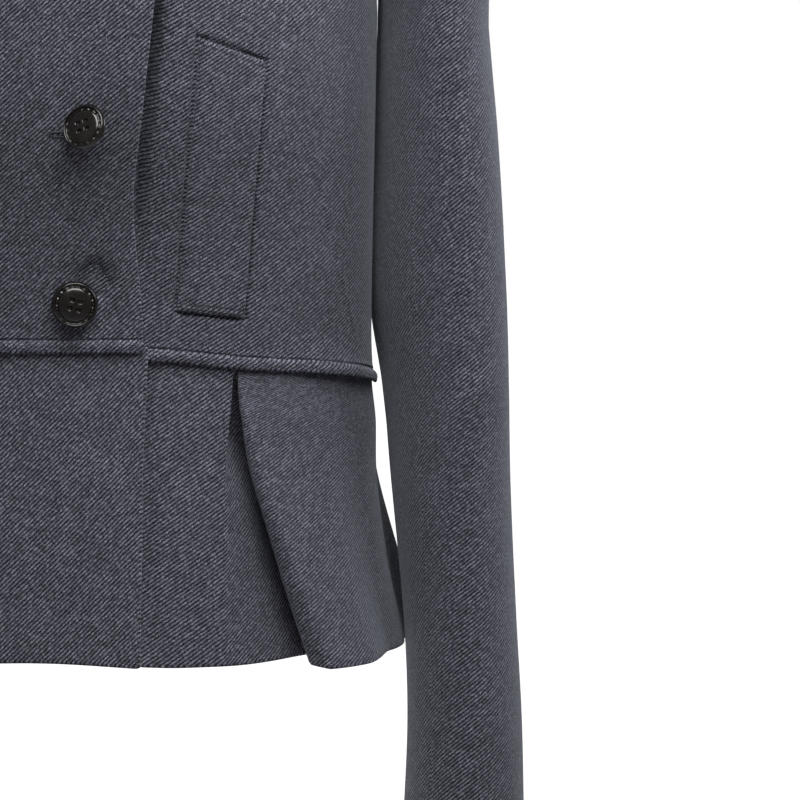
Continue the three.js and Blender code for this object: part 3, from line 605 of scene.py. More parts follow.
# twill: ribs along the uv's x, repeated along its y and wavered by noise. Each rib is broken into grains of
# its own brightness, which step from one rib to the next. A rib is a cosine across, a grain one along, and
# noise frays the ribs' edges and gives the fibres. Between the ribs the colour falls to the near-black groove
# colour: partly the weave's own darker yarn, partly painted shade in the grooves
def twillWeaveGroup():
    group, given, gives = newGroup("twillWeave", [
        ("Vector", "Vector", None), ("Pitch", "Float", 0.00166), ("Grain Length", "Float", 0.0019),
        ("Waver", "Float", 0.00035), ("Base", "Color", (0.07, 0.08, 0.107, 1)),
        ("Groove", "Color", (0.021, 0.025, 0.034, 1)), ("Fibre", "Color", (0.156, 0.171, 0.205, 1))],
        [("Color", "Color"), ("Height", "Float")])
    vector = given.outputs["Vector"]
    split = group.nodes.new("ShaderNodeSeparateXYZ")
    linked(group, vector, split.inputs[0])
    slow = centred(group, noiseNode(group, vector, 110, 260), 1.0)
    quick = centred(group, noiseNode(group, vector, 620, 1000), 0.8)
    drift = mathNode(group, "MULTIPLY", mathNode(group, "ADD", slow, quick), given.outputs["Waver"])
    wavered = mathNode(group, "ADD", split.outputs["Y"], drift)
    across = mathNode(group, "DIVIDE", wavered, given.outputs["Pitch"])
    rib = waveNode(group, across)
    row = mathNode(group, "FLOOR", mathNode(group, "ADD", across, 0.5))
    length = mathNode(group, "DIVIDE", split.outputs["X"], given.outputs["Grain Length"])
    length = mathNode(group, "ADD", length, mathNode(group, "MULTIPLY", row, 0.618))
    jitter = mathNode(group, "MULTIPLY", noiseNode(group, vector, 330, 620), 1.2)
    length = mathNode(group, "ADD", length, jitter)
    bead = mathNode(group, "SUBTRACT", 1.0, waveNode(group, length))
    cell = group.nodes.new("ShaderNodeCombineXYZ")
    linked(group, mathNode(group, "FLOOR", length), cell.inputs["X"])
    linked(group, row, cell.inputs["Y"])
    chance = group.nodes.new("ShaderNodeTexWhiteNoise")
    chance.noise_dimensions = "2D"
    linked(group, cell.outputs[0], chance.inputs["Vector"])
    fibres = noiseNode(group, vector, 1000, 1700, 2.0, 0.6)
    cloudy = noiseNode(group, vector, 60, 90, 4.0, 0.55)
    frayed = centred(group, noiseNode(group, vector, 950, 1500, 2.0, 0.6), 2.0)
    onRib = rangeNode(group, mathNode(group, "ADD", rib, frayed), 0.16, 0.74, 0.0, 1.0)
    grain = mathNode(group, "ADD", 0.72, mathNode(group, "MULTIPLY", bead, 0.28))
    lit = mathNode(group, "MULTIPLY", onRib, grain)
    # painted shade: off the ribs the colour goes to the near-black groove colour, partly the weave's own
    # darker yarn and partly painted shade in the grooves
    colour = colourMix(group, lit, given.outputs["Groove"], given.outputs["Base"])
    light = mathNode(group, "MULTIPLY", rangeNode(group, chance.outputs["Value"], 0.2, 1.0, 0.0, 0.5), lit)
    colour = colourMix(group, light, colour, given.outputs["Fibre"])
    shade = rangeNode(group, fibres, 0.3, 0.7, 0.55, 1.45)
    shade = mathNode(group, "MULTIPLY", shade, rangeNode(group, cloudy, 0.3, 0.7, 0.94, 1.06))
    shadeColour = group.nodes.new("ShaderNodeCombineColor")
    for i in range(3):
        linked(group, shade, shadeColour.inputs[i])
    linked(group, colourMix(group, 1.0, colour, shadeColour.outputs[0], "MULTIPLY"), gives.inputs["Color"])
    height = mathNode(group, "ADD", mathNode(group, "MULTIPLY", lit, 0.9), centred(group, fibres, 0.35))
    linked(group, height, gives.inputs["Height"])
    return group


# fine speckle for any finish: noise made a mask, which mixes two colours, and a roughness that varies with it
def speckleGroup():
    group, given, gives = newGroup("fineSpeckle", [
        ("Vector", "Vector", None), ("Scale", "Float", 900.0), ("Amount", "Float", 0.3),
        ("Roughness", "Float", 0.5), ("Color", "Color", (0.1, 0.1, 0.1, 1)),
        ("Speck", "Color", (0.3, 0.3, 0.3, 1))],
        [("Color", "Color"), ("Roughness", "Float"), ("Mask", "Float")])
    noise = group.nodes.new("ShaderNodeTexNoise")
    noise.inputs["Detail"].default_value = 4.0
    linked(group, given.outputs["Vector"], noise.inputs["Vector"])
    linked(group, given.outputs["Scale"], noise.inputs["Scale"])
    mask = rangeNode(group, noise.outputs["Fac"], 0.48, 0.75, 0.0, 1.0)
    amount = mathNode(group, "MULTIPLY", mask, given.outputs["Amount"], clamp=True)
    colour = colourMix(group, amount, given.outputs["Color"], given.outputs["Speck"])
    linked(group, colour, gives.inputs["Color"])
    change = centred(group, noise.outputs["Fac"], 0.25)
    rough = mathNode(group, "ADD", given.outputs["Roughness"], change, clamp=True)
    linked(group, rough, gives.inputs["Roughness"])
    linked(group, amount, gives.inputs["Mask"])
    return group


twillWeave = twillWeaveGroup()
fineSpeckle = speckleGroup()


def groupIn(material, group, vector, values):
    tree = material.node_tree
    made = tree.nodes.new("ShaderNodeGroup")
    made.node_tree = group
    linked(tree, vector, made.inputs["Vector"])
    for name, value in values.items():
        fed(tree, value, made.inputs[name])
    return made


def newMaterial(name):
    material = bpy.data.materials.new(name)
    material.use_nodes = True
    tree = material.node_tree
    return material, tree, tree.nodes["Principled BSDF"]


def bumped(tree, shader, height, distance):
    bump = tree.nodes.new("ShaderNodeBump")
    bump.inputs["Strength"].default_value = 1.0
    bump.inputs["Distance"].default_value = distance
    linked(tree, height, bump.inputs["Height"])
    linked(tree, bump.outputs["Normal"], shader.inputs["Normal"])


clothFinish = {
    # groove is the colour between the ribs: partly the weave's own darker yarn, partly painted shade
    "base": (0.079, 0.0805, 0.108), "groove": (0.004, 0.004, 0.007), "fibre": (0.225, 0.228, 0.285),
    "pitch": 0.00154, "grainLength": 0.0012, "waver": 0.0006, "ribHeight": 0.0003,
    "lintScale": 420.0, "lintAmount": 0.16,
    "roughness": 0.88, "specular": 0.25, "sheen": 0.22, "sheenRoughness": 0.4, "sheenTint": (0.82, 0.88, 1.0),
}


# the weave laid by the uv map, with specks of lint over it
def twillMaterial():
    material, tree, shader = newMaterial("woolTwill")
    coords = tree.nodes.new("ShaderNodeUVMap")
    coords.uv_map = "weave"
    weave = groupIn(material, twillWeave, coords.outputs["UV"], {
        "Pitch": clothFinish["pitch"], "Grain Length": clothFinish["grainLength"],
        "Waver": clothFinish["waver"], "Base": clothFinish["base"], "Groove": clothFinish["groove"],
        "Fibre": clothFinish["fibre"]})
    place = tree.nodes.new("ShaderNodeTexCoord")
    lint = groupIn(material, fineSpeckle, place.outputs["Object"], {
        "Scale": clothFinish["lintScale"], "Amount": clothFinish["lintAmount"],
        "Roughness": clothFinish["roughness"], "Speck": clothFinish["fibre"]})
    linked(tree, weave.outputs["Color"], lint.inputs["Color"])
    linked(tree, lint.outputs["Color"], shader.inputs["Base Color"])
    linked(tree, lint.outputs["Roughness"], shader.inputs["Roughness"])
    bumped(tree, shader, weave.outputs["Height"], clothFinish["ribHeight"])
    shader.inputs["Specular IOR Level"].default_value = clothFinish["specular"]
    shader.inputs["Sheen Weight"].default_value = clothFinish["sheen"]
    shader.inputs["Sheen Roughness"].default_value = clothFinish["sheenRoughness"]
    shader.inputs["Sheen Tint"].default_value = (*clothFinish["sheenTint"], 1.0)
    return material


threadFinish = {
    "colour": (0.018, 0.019, 0.026), "speck": (0.05, 0.053, 0.065), "scale": 2400.0, "amount": 0.5,
    "roughness": 0.75, "bump": 0.0001, "coat": 0.0, "coatRoughness": 0.03,
}
buttonFinish = {
    "colour": (0.005, 0.004, 0.0036), "speck": (0.012, 0.010, 0.008), "scale": 260.0, "amount": 0.35,
    "roughness": 0.19, "bump": 0.00003, "coat": 0.12, "coatRoughness": 0.05,
}


# one colour speckled with another, as finish says
def speckledMaterial(name, finish):
    material, tree, shader = newMaterial(name)
    place = tree.nodes.new("ShaderNodeTexCoord")
    speckle = groupIn(material, fineSpeckle, place.outputs["Object"], {
        "Scale": finish["scale"], "Amount": finish["amount"], "Roughness": finish["roughness"],
        "Color": finish["colour"], "Speck": finish["speck"]})
    linked(tree, speckle.outputs["Color"], shader.inputs["Base Color"])
    linked(tree, speckle.outputs["Roughness"], shader.inputs["Roughness"])
    bumped(tree, shader, speckle.outputs["Mask"], finish["bump"])
    shader.inputs["Coat Weight"].default_value = finish["coat"]
    shader.inputs["Coat Roughness"].default_value = finish["coatRoughness"]
    return material


# the floor glows white where the camera looks at it, so that it runs into the backdrop with no horizon
def floorMaterial():
    material, tree, shader = newMaterial("paleFloor")
    shader.inputs["Base Color"].default_value = (0.9, 0.9, 0.9, 1.0)
    shader.inputs["Roughness"].default_value = 0.9
    shader.inputs["Specular IOR Level"].default_value = 0.1
    shader.inputs["Emission Color"].default_value = (1.0, 1.0, 1.0, 1.0)
    ray = tree.nodes.new("ShaderNodeLightPath")
    linked(tree, ray.outputs["Is Camera Ray"], shader.inputs["Emission Strength"])
    return material


woolTwill = twillMaterial()
sewingThread = speckledMaterial("sewingThread", threadFinish)
buttonPlastic = speckledMaterial("buttonPlastic", buttonFinish)
print("materials built")


# bodice

waistEdge = {
    "lap": 1.5, "lapFrom": 1.5, "lapReach": 9.0,  # the folded edge stands out, and is back in at lapReach
    "stitchHeight": 6.0, "grooveDepth": 0.95, "grooveWidth": 0.6, "puff": 0.6, "puffWidth": 2.2,
    "raiseBy": 0.9, "raiseShare": 0.03,  # the cloth ends above the seam, to leave room for its round rim
    # heights of the rows of points round the stitches, on a lower bodice that is rowsOver high
    "rowHeights": [0, 0.4, 0.9, 1.6, 2.4, 3.3, 4.1, 4.7, 5.2, 5.6, 6.0, 6.4, 6.8, 7.4, 8.2, 9.4, 11, 13],
    "rowsOver": 155,
}
frontDetails = {
    # the flap's edge stands off the pocket, most at full and higher, up to top
    "flapLift": {"height": 6.0, "from": 0.3, "power": 1.3, "end": -345, "full": -245, "top": -60},
    "edgeClear": (20, 60),  # the left front's waist edge is flat beneath the flap, up to these x
    "sideSwell": {"height": 2.0, "rise": (128, 146), "fall": (160, 172), "reach": 14},
    "rightLines": [
        {"path": [(29, -354), (37, -361), (44, -371)], "height": -8.5, "width": 6.6, "fade": 0.35},
        {"path": [(31, -364), (39, -375), (52, -383)], "height": -0.5, "width": 5.0, "fade": 0.3},
        {"path": [(52, -330), (54, -360), (52, -386)], "height": 0.35, "width": 6.0, "fade": 0.3},
        {"path": [(-60, -300), (-100, -310), (-135, -300)], "height": 0.8, "width": 12, "fade": 0.4},
        {"path": [(-90, -360), (-120, -352), (-150, -356)], "height": -0.8, "width": 9, "fade": 0.4},
        {"path": [(-140, -200), (-120, -230), (-96, -244)], "height": -1.0, "width": 13, "fade": 0.4},
    ],
    "leftLines": [
        {"path": [(67, -180), (66.4, -225), (65, -252), (61, -292)],
         "height": -4.0, "width": 3.0, "fade": 0.25},
        {"path": [(67, -190), (66, -225), (64.8, -252), (60, -300), (57.5, -330), (58.5, -362)],
         "height": -6.0, "width": 3.4, "fade": 0.3},
        {"path": [(66, -215), (63.5, -260), (59, -305), (60, -345), (61, -384)],
         "height": -2.6, "width": 9, "fade": 0.2},
        {"path": [(120, -382), (142, -388), (164, -392)], "height": -0.7, "width": 6, "fade": 0.4},
        {"path": [(130, -352), (150, -360), (168, -362)], "height": 0.5, "width": 8, "fade": 0.4},
        {"path": [(128, -215), (140, -250), (146, -300)], "height": 0.7, "width": 12, "fade": 0.4},
        {"path": [(150, -214), (132, -226), (112, -230)], "height": -0.9, "width": 11, "fade": 0.4},
    ],
    "pocketSeam": {"path": [(75.1, -376.5), (85.1, -249.0), (117.0, -260.3), (107.7, -380.5), (75.1, -376.5)],
                   "height": -1.7, "width": 0.85, "fade": 0},
    "dart": [(136.6, -290.6), (147.7, -334), (157, -371), (164, -396)],
    "dartRidge": {"height": 0.42, "width": 0.75, "fade": 0.12},
    "dartDip": {"height": -0.3, "width": 2.4, "fade": 0.2}, "dartDipAside": 2.0,
}
backDetails = {"lines": [
    {"path": [(-60, -250), (-20, -262), (40, -252)], "height": -1.0, "width": 13, "fade": 0.4},
    {"path": [(-120, -330), (-80, -345), (-20, -340)], "height": 0.8, "width": 11, "fade": 0.4},
    {"path": [(20, -352), (70, -360), (125, -345)], "height": -0.9, "width": 10, "fade": 0.4},
    {"path": [(-150, -190), (-120, -220), (-80, -236)], "height": -1.2, "width": 12, "fade": 0.4},
    {"path": [(150, -196), (118, -222), (84, -232)], "height": -1.1, "width": 13, "fade": 0.4},
    {"path": [(-30, -60), (0, -70), (34, -58)], "height": 0.8, "width": 14, "fade": 0.4},
]}


# the dart of one side: a ridge along it and a shallow dip beside it
def dartLines(side):
    path = [(side * x, z) for x, z in frontDetails["dart"]]
    aside = [(x - side * frontDetails["dartDipAside"], z) for x, z in path]
    return [{"path": path, **frontDetails["dartRidge"]}, {"path": aside, **frontDetails["dartDip"]}]


# how a bodice's waist edge stands out: a lap that dies away with height, a groove along the stitches, a
# puffed band below them
def waistEdgeHeight(above):
    lap = waistEdge["lap"] * (1 - ramp(above, waistEdge["lapFrom"], waistEdge["lapReach"]))
    fromStitch = (above - waistEdge["stitchHeight"]) / waistEdge["grooveWidth"]
    fromPuff = (above - waistEdge["stitchHeight"] / 2) / waistEdge["puffWidth"]
    groove = -waistEdge["grooveDepth"] * np.exp(-fromStitch ** 2)
    return lap + groove + waistEdge["puff"] * np.exp(-fromPuff ** 2)


# the back has nothing past its middle
def noReach(v):
    return np.ones(np.shape(v))


# height of a bodice's points over its waist seam
def aboveWaist(u, v, p, seamAt, reachAt):
    return p[..., 2] - seamAt(np.clip(alongAt(u, v, reachAt), 0, 1))


# waist edge, creases and dart, and the lift of the flap's edge: ramp^power of the way to the edge
def rightFrontHeight(u, v, p):
    x, z = p[..., 0], p[..., 2]
    flap = frontDetails["flapLift"]
    lift = flap["height"] * ramp(-u, flap["from"], 1) ** flap["power"]
    height = waistEdgeHeight(aboveWaist(u, v, p, overlappingSeamAt, flapReachAt))
    height += softLines(frontDetails["rightLines"], x, z)
    height += lift * ramp(z, flap["end"], flap["full"]) * (z < flap["top"])
    return height + softLines(dartLines(-1), x, z)


# waist edge, a swell of it towards the side, creases, the seam round the welt, and the dart
def leftFrontHeight(u, v, p):
    x, z = p[..., 0], p[..., 2]
    above = aboveWaist(u, v, p, underlappingSeamAt, underlapReachAt)
    swell = frontDetails["sideSwell"]
    height = waistEdgeHeight(above) * ramp(x, *frontDetails["edgeClear"])
    aside = ramp(x, *swell["rise"]) * (1 - ramp(x, *swell["fall"]))
    height += swell["height"] * aside * (1 - ramp(above, 0, swell["reach"]))
    height += softLines(frontDetails["leftLines"], x, z)
    height += softLines([frontDetails["pocketSeam"]], x, z)
    return height + softLines(dartLines(1), x, z)


def backHeight(u, v, p):
    above = aboveWaist(u, v, p, backSeamAt, noReach)
    return waistEdgeHeight(above) + softLines(backDetails["lines"], p[..., 0], p[..., 2])


# ends a bodice's lowest rows a little above the seam
def hung(surface):
    def out(u, v):
        p = surface(u, v)
        p[..., 2] += waistEdge["raiseBy"] * (1 - ramp(v, 0, waistEdge["raiseShare"]))
        return p
    return out


rightFront = hung(raised(rightFrontCut, -1, rightFrontHeight))
leftFront = hung(raised(leftFrontCut, 1, leftFrontHeight))
back = hung(raised(backCut, -1, backHeight))

# columns and rows lie closest at edges, seams and the welt
sideEnd, topEnd, bustShare = body["sideEnd"], body["topEnd"], body["bustShare"]
edgeRows = np.array(waistEdge["rowHeights"]) / waistEdge["rowsOver"] * bustShare
bodiceRows = np.concatenate([edgeRows, runs(0.0425, (bustShare, 50), (topEnd, 84))])
pocketRows = np.concatenate([edgeRows, runs(0.0425, (0.056, 4), (0.084, 18), (0.356, 34), (0.4, 28),
                                            (bustShare, 3), (topEnd, 60))])
rightFrontColumns = runs(-0.985, (-0.95, 4), (-0.75, 5), (-0.4, 20), (0, 8), (0.5, 36), (0.56, 10),
                         (0.84, 44), (sideEnd, 14))
leftFrontColumns = runs(-1, (0, 16), (0.17, 14), (0.236, 26), (0.298, 28), (0.386, 8), (0.436, 26), (0.5, 6),
                        (0.84, 48), (sideEnd, 14))
backColumns = bothSides(runs(0, (1, 74))[1:] * sideEnd)

frontRight = clothPiece("frontRightCloth", rightFront, rightFrontColumns, bodiceRows, -1, woolTwill,
                        rounds=(freeRim, sewnRim, freeRim, sewnRim), turn=ribTurn["frontRight"],
                        zero=middleOf(rightFrontColumns), plain=rightFrontCut)
frontLeft = clothPiece("frontLeftCloth", leftFront, leftFrontColumns, pocketRows, 1, woolTwill,
                       rounds=(freeRim, sewnRim, freeRim, sewnRim), turn=ribTurn["frontLeft"],
                       zero=middleOf(leftFrontColumns), plain=leftFrontCut)
backPiece = clothPiece("backCloth", back, backColumns, bodiceRows, -1, woolTwill,
                       rounds=(sewnRim, sewnRim, freeRim, sewnRim), turn=ribTurn["back"],
                       zero=middleOf(backColumns), plain=backCut)
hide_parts("front_right")
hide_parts("front_left")
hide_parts("back")
print("bodice built")

# peplum

peplumDetails = {
    "stitchRise": -0.022,  # the peplum's top runs this share of its depth up beneath the bodice's edge
    "rightLines": [
        {"path": [(52, -401), (53, -425), (50, -470)], "height": -0.45, "width": 2.6, "fade": 0.3},
        {"path": [(30, -420), (34, -470), (30, -520)], "height": 0.8, "width": 12, "fade": 0.4},
    ],
    "leftLines": [
        {"path": [(62, -398), (61, -460), (61, -538)], "height": -1.8, "width": 3.6, "fade": 0.06},
        {"path": [(104, -400), (108, -430), (112, -470)], "height": 0.5, "width": 5, "fade": 0.4},
        {"path": [(78, -440), (80, -480), (84, -530)], "height": 0.6, "width": 10, "fade": 0.4},
        {"path": [(140, -420), (146, -450), (158, -500)], "height": 0.7, "width": 9, "fade": 0.4},
    ],
    "backLines": [
        {"path": [(-20, -420), (-26, -470), (-24, -530)], "height": 1.0, "width": 12, "fade": 0.4},
        {"path": [(36, -430), (40, -480), (46, -534)], "height": -0.9, "width": 11, "fade": 0.4},
    ],
}
peplumRows = runs(peplumDetails["stitchRise"], (0.06, 10), (0.94, 44), (1, 6))


# the peplum below its seam, with its top carried straight up beneath the bodice's edge
def underEdge(surface):
    def out(u, v):
        p = surface(u, np.maximum(v, 0))
        p[..., 2] += peplum["depth"] * np.maximum(-v, 0)
        return p
    return out


def peplumHeight(lines):
    def height(u, v, p):
        return softLines(lines, p[..., 0], p[..., 2])
    return height


rightPeplum = underEdge(raised(rightPeplumCut, 1, peplumHeight(peplumDetails["rightLines"])))
leftPeplum = underEdge(raised(leftPeplumCut, -1, peplumHeight(peplumDetails["leftLines"])))
backPeplum = underEdge(raised(backPeplumCut, 1, peplumHeight(peplumDetails["backLines"])))

# columns lie closest at the pleat; the last ones are drawn in to end at the side seam
pleatColumns = runs(0, (0.165, 12), (0.238, 18), (0.352, 10), (0.366, 14), (0.394, 14), (0.437, 30),
                    (0.5, 18), (0.6, 14), (0.98, 38), (1, 4))
pleatColumns = np.minimum(pleatColumns, sideEnd)
pleatColumns[-2] = mixed(pleatColumns[-3], sideEnd, 0.6)
peplumColumns = np.concatenate([runs(-0.985, (-0.94, 4), (0, 18))[:-1], pleatColumns])
peplumBackColumns = bothSides(pleatColumns[1:])

peplumRight = clothPiece("peplumRightCloth", rightPeplum, peplumColumns, peplumRows, 1, woolTwill,
                         rounds=(freeRim, sewnRim, halfRim, freeRim), turn=ribTurn["peplumRight"],
                         zero=middleOf(peplumColumns), down=True)
peplumLeft = clothPiece("peplumLeftCloth", leftPeplum, peplumColumns, peplumRows, -1, woolTwill,
                        rounds=(freeRim, sewnRim, halfRim, freeRim), turn=ribTurn["peplumLeft"],
                        zero=middleOf(peplumColumns), down=True)
peplumBack = clothPiece("peplumBackCloth", backPeplum, peplumBackColumns, peplumRows, 1, woolTwill,
                        rounds=(sewnRim, sewnRim, halfRim, freeRim), turn=ribTurn["peplumBack"],
                        zero=middleOf(peplumBackColumns), down=True)
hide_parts("peplum_front_right")
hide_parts("peplum_front_left")
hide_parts("peplum_back")
print("peplum built")

# sleeves

sleeveDetails = {
    # soft creases round a place on the sleeve: height in mm, long around and wide down it, slanted across
    "creases": [
        {"around": 0.30, "down": 0.60, "height": -1.0, "long": 0.09, "wide": 0.012, "slant": 0.10},
        {"around": 0.22, "down": 0.66, "height": 0.9, "long": 0.08, "wide": 0.015, "slant": 0.14},
        {"around": 0.34, "down": 0.72, "height": -0.9, "long": 0.07, "wide": 0.012, "slant": -0.08},
        {"around": 0.12, "down": 0.30, "height": -0.8, "long": 0.09, "wide": 0.02, "slant": 0.2},
        {"around": 0.82, "down": 0.58, "height": -1.1, "long": 0.09, "wide": 0.015, "slant": -0.1},
        {"around": 0.74, "down": 0.64, "height": 1.0, "long": 0.1, "wide": 0.018, "slant": 0.06},
        {"around": 0.63, "down": 0.70, "height": -1.0, "long": 0.06, "wide": 0.014, "slant": 0.1},
        {"around": 0.90, "down": 0.40, "height": -0.9, "long": 0.1, "wide": 0.02, "slant": 0.12},
    ],
    "rightShift": 0.03,  # the right sleeve's creases lie this much further round
    "capEase": 0.15, "capEaseCount": 17, "capEaseReach": 0.03,
}


# creases are bells round slanted lines in (around, down), and the cap's ease is a small wave beside the
# armhole
def sleeveHeight(shift):
    def height(u, v, p):
        total = np.zeros(np.shape(u))
        for crease in sleeveDetails["creases"]:
            away = np.mod(u - crease["around"] - shift + 0.5, 1) - 0.5
            line = v - crease["down"] - crease["slant"] * away
            total += crease["height"] * np.exp(-(away / crease["long"]) ** 2 - (line / crease["wide"]) ** 2)
        ease = sleeveDetails["capEase"] * np.cos(2 * np.pi * u * sleeveDetails["capEaseCount"])
        onCap = np.exp(-(v / sleeveDetails["capEaseReach"]) ** 2) * (1 + np.cos(2 * np.pi * u)) / 2
        return total + ease * onCap
    return height


leftSleeve = raised(sleevePoint, 1, sleeveHeight(0))
rightSleeve = raised(flipped(sleevePoint), -1, sleeveHeight(sleeveDetails["rightShift"]))
sleeveRows = runs(0, (0.05, 8), (0.38, 36), (0.98, 110), (1, 5))


# evenly spaced columns of a sleeve part, with a narrow one at each seam so that its shading stays narrow
def seamedColumns(first, last, count):
    first, last, narrow = first + sleeve["seamHalfGap"], last - sleeve["seamHalfGap"], sleeve["seamColumn"]
    return runs(first, (first + narrow, 1), (last - narrow, count), (last, 1))


topColumns = seamedColumns(sleeve["backSeam"] - 1, sleeve["frontSeam"], 68)
underColumns = seamedColumns(sleeve["frontSeam"], sleeve["backSeam"], 32)
sleeves = {}
for side, surface, facing in (("left", leftSleeve, 1), ("right", rightSleeve, -1)):
    for part, columns in (("top", topColumns), ("under", underColumns)):
        name = f"sleeve{side.title()}{part.title()}"
        piece = clothPiece(f"{name}Cloth", surface, columns, sleeveRows, facing, woolTwill,
                           rounds=(sewnRim, sewnRim, sewnRim, freeRim), turn=ribTurn["sleeve"],
                           zero=len(columns) // 2, zeroRow=len(sleeveRows) - 1, down=True)
        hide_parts(f"sleeve_{side}_{part}")
        sleeves[name] = piece
print("sleeves built")

# collar stand

collar = {
    "height": 29, "lean": 9, "thickness": 2.4, "seat": -0.3, "seatRim": 0.2, "backShare": 0.42, "end": 0.996,
}


# the neckline carried up by height and leant towards the middle
def collarPoint(u, v):
    share = np.abs(u)
    part = collar["backShare"]
    base = np.where((share < part)[..., None], neckline(share / part, True),
                    neckline((1 - share) / (1 - part), False))
    inward = unit(point(-base[..., 0], -(base[..., 1] - neck["point"][1]), 0))
    p = base + inward * collar["lean"] * v[..., None]
    p[..., 2] += collar["seat"] + collar["height"] * v
    return sidedBy(u, p)


collarColumns = bothSides(runs(0, (1, 46))[1:] * collar["end"])
collarPiece = clothPiece("collarCloth", collarPoint, collarColumns, runs(0, (0.1, 3), (0.9, 10), (1, 3)), -1,
                         woolTwill, rounds=(freeRim, freeRim, collar["seatRim"], freeRim),
                         turn=ribTurn["collar"], zero=middleOf(collarColumns), thickness=collar["thickness"])
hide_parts("collar_stand")

# welts

welt = {
    "topInner": (86.2, -250.4), "topOuter": (115.8, -261.2),
    "lowInner": (76.2, -375.4), "lowOuter": (106.6, -379.2),
    "length": 125, "lift": 1.9, "thickness": 1.7,
    "seat": 0.35, "seamShare": 0.25, "seamReach": 0.035,  # lower at its inner seam
    "grooveAt": 2.6, "grooveDepth": 0.35, "grooveWidth": 0.8,  # beneath the stitches at its ends
    "endRound": 0.5, "endReach": 1.0,
}


# where x and z are on a front panel: the ring formula turned round for along, a share of the height for up
def shareAt(x, z, seamAt):
    along = np.arcsin((x / halfWidthAt(z)) ** (1 / body["roundness"])) * 2 / np.pi
    seam = seamAt(along) + body["seamGap"] / 2
    return along, bustShare * (z - seam) / (body["bustZ"] - seam)


# its lift, less a dip at the inner seam, a bell-shaped groove beneath each end's stitches and a round at
# the ends
def weltHeight(u, v, p):
    fromSeam = 1 - np.exp(-(u / welt["seamReach"]) ** 2)
    fromEnd = np.minimum(v, 1 - v) * welt["length"]
    groove = welt["grooveDepth"] * np.exp(-((fromEnd - welt["grooveAt"]) / welt["grooveWidth"]) ** 2)
    endRound = welt["endRound"] * np.exp(-(fromEnd / welt["endReach"]) ** 2)
    lift = (welt["lift"] - welt["seat"]) * mixed(welt["seamShare"], 1, fromSeam)
    return welt["seat"] + lift - groove - endRound


# the four corners' straight mix, laid on the front and raised off it
def weltSurface(front, seamAt, facing):
    def flat(u, v):
        low = mixed(np.array(welt["lowInner"]), np.array(welt["lowOuter"]), u[..., None])
        top = mixed(np.array(welt["topInner"]), np.array(welt["topOuter"]), u[..., None])
        spot = mixed(low, top, v[..., None])
        return front(*shareAt(spot[..., 0], spot[..., 1], seamAt))
    return raised(flat, facing, weltHeight)


weltSides = [("Left", weltSurface(leftFrontCut, underlappingSeamAt, 1), 1),
             ("Right", weltSurface(rightFrontCut, overlappingSeamAt, -1), -1)]
weltColumns, weltRows = runs(0, (0.1, 6), (0.93, 22), (1, 4)), runs(0, (0.06, 12), (0.94, 50), (1, 12))
welts = {}
for side, surface, facing in weltSides:
    welts[side] = clothPiece(f"welt{side}Cloth", surface, weltColumns, weltRows, facing, woolTwill,
                             rounds=(halfRim, halfRim, halfRim, halfRim), turn=ribTurn["welt"],
                             zero=middleOf(weltColumns), thickness=welt["thickness"])
    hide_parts(f"pocket_welt_{side.lower()}")
print("collar and welts built")

# stitching

stitches = {
    "pitch": 3.0, "length": 2.35, "width": 0.5, "sink": -0.02, "rings": 5, "spokes": 6,
    "strayPlace": 0.08, "strayLength": 0.06,
    "weltRows": (("Low", 0.010), ("LowInner", 0.029), ("Top", 1 - 0.021)), "weltSpan": (0.04, 0.97),
}


# machine stitches along a line on a surface: small ellipsoids, each a stack of rings, laid end to end at the
# pitch with a little chance in place and length
def stitchLine(name, surface, us, vs, facing, seed):
    line, normals = surface(us, vs), normalsOf(surface, us, vs, facing)
    run = np.concatenate([[0], np.cumsum(np.linalg.norm(np.diff(line, axis=0), axis=-1))])
    number = max(int(run[-1] / stitches["pitch"]), 1)
    chance = np.random.default_rng(seed)
    centre = (np.arange(number) + 0.5) / number * run[-1] + chance.normal(0, stitches["strayPlace"], number)
    half = stitches["length"] / 2 * (1 + chance.normal(0, stitches["strayLength"], number))

    def along(at, values):
        return np.stack([np.interp(at, run, values[:, k]) for k in range(3)], -1)
    head, tail = along(centre + half, line), along(centre - half, line)
    normal, way = unit(along(centre, normals)), unit(head - tail)
    middle = (head + tail) / 2 + normal * stitches["sink"]
    side = np.cross(normal, way)
    rings, spokes, radius = stitches["rings"], stitches["spokes"], stitches["width"] / 2
    t = np.linspace(-1, 1, rings + 2)[1:-1, None] * np.ones(spokes)
    a = np.arange(spokes) * 2 * np.pi / spokes
    fat = np.sqrt(1 - t**2) * radius
    shape = (way[:, None, None] * t[None, ..., None] * half[:, None, None, None]
             + side[:, None, None] * (fat * np.cos(a))[None, ..., None]
             + normal[:, None, None] * (fat * np.sin(a))[None, ..., None])
    solid = (middle[:, None, None] + shape).reshape(number, -1, 3)
    ends = np.stack([middle - way * half[:, None], middle + way * half[:, None]], 1)
    points = np.concatenate([solid, ends], 1).reshape(-1, 3)
    quads, poles = ringFaces(rings, spokes)
    shifts = (np.arange(number) * (rings * spokes + 2))[:, None, None]
    faces = list((quads + shifts).reshape(-1, 4)) + list((poles + shifts).reshape(-1, 3))
    made = makeMesh(name, points, faces, sewingThread)
    return made


# the row of a bodice panel that lies at the stitches' height over its waist seam
def stitchRow(us, seamAt, reachAt):
    along = alongAt(us, np.zeros(us.shape), reachAt)
    return bustShare * waistEdge["stitchHeight"] / (body["bustZ"] - seamAt(along))


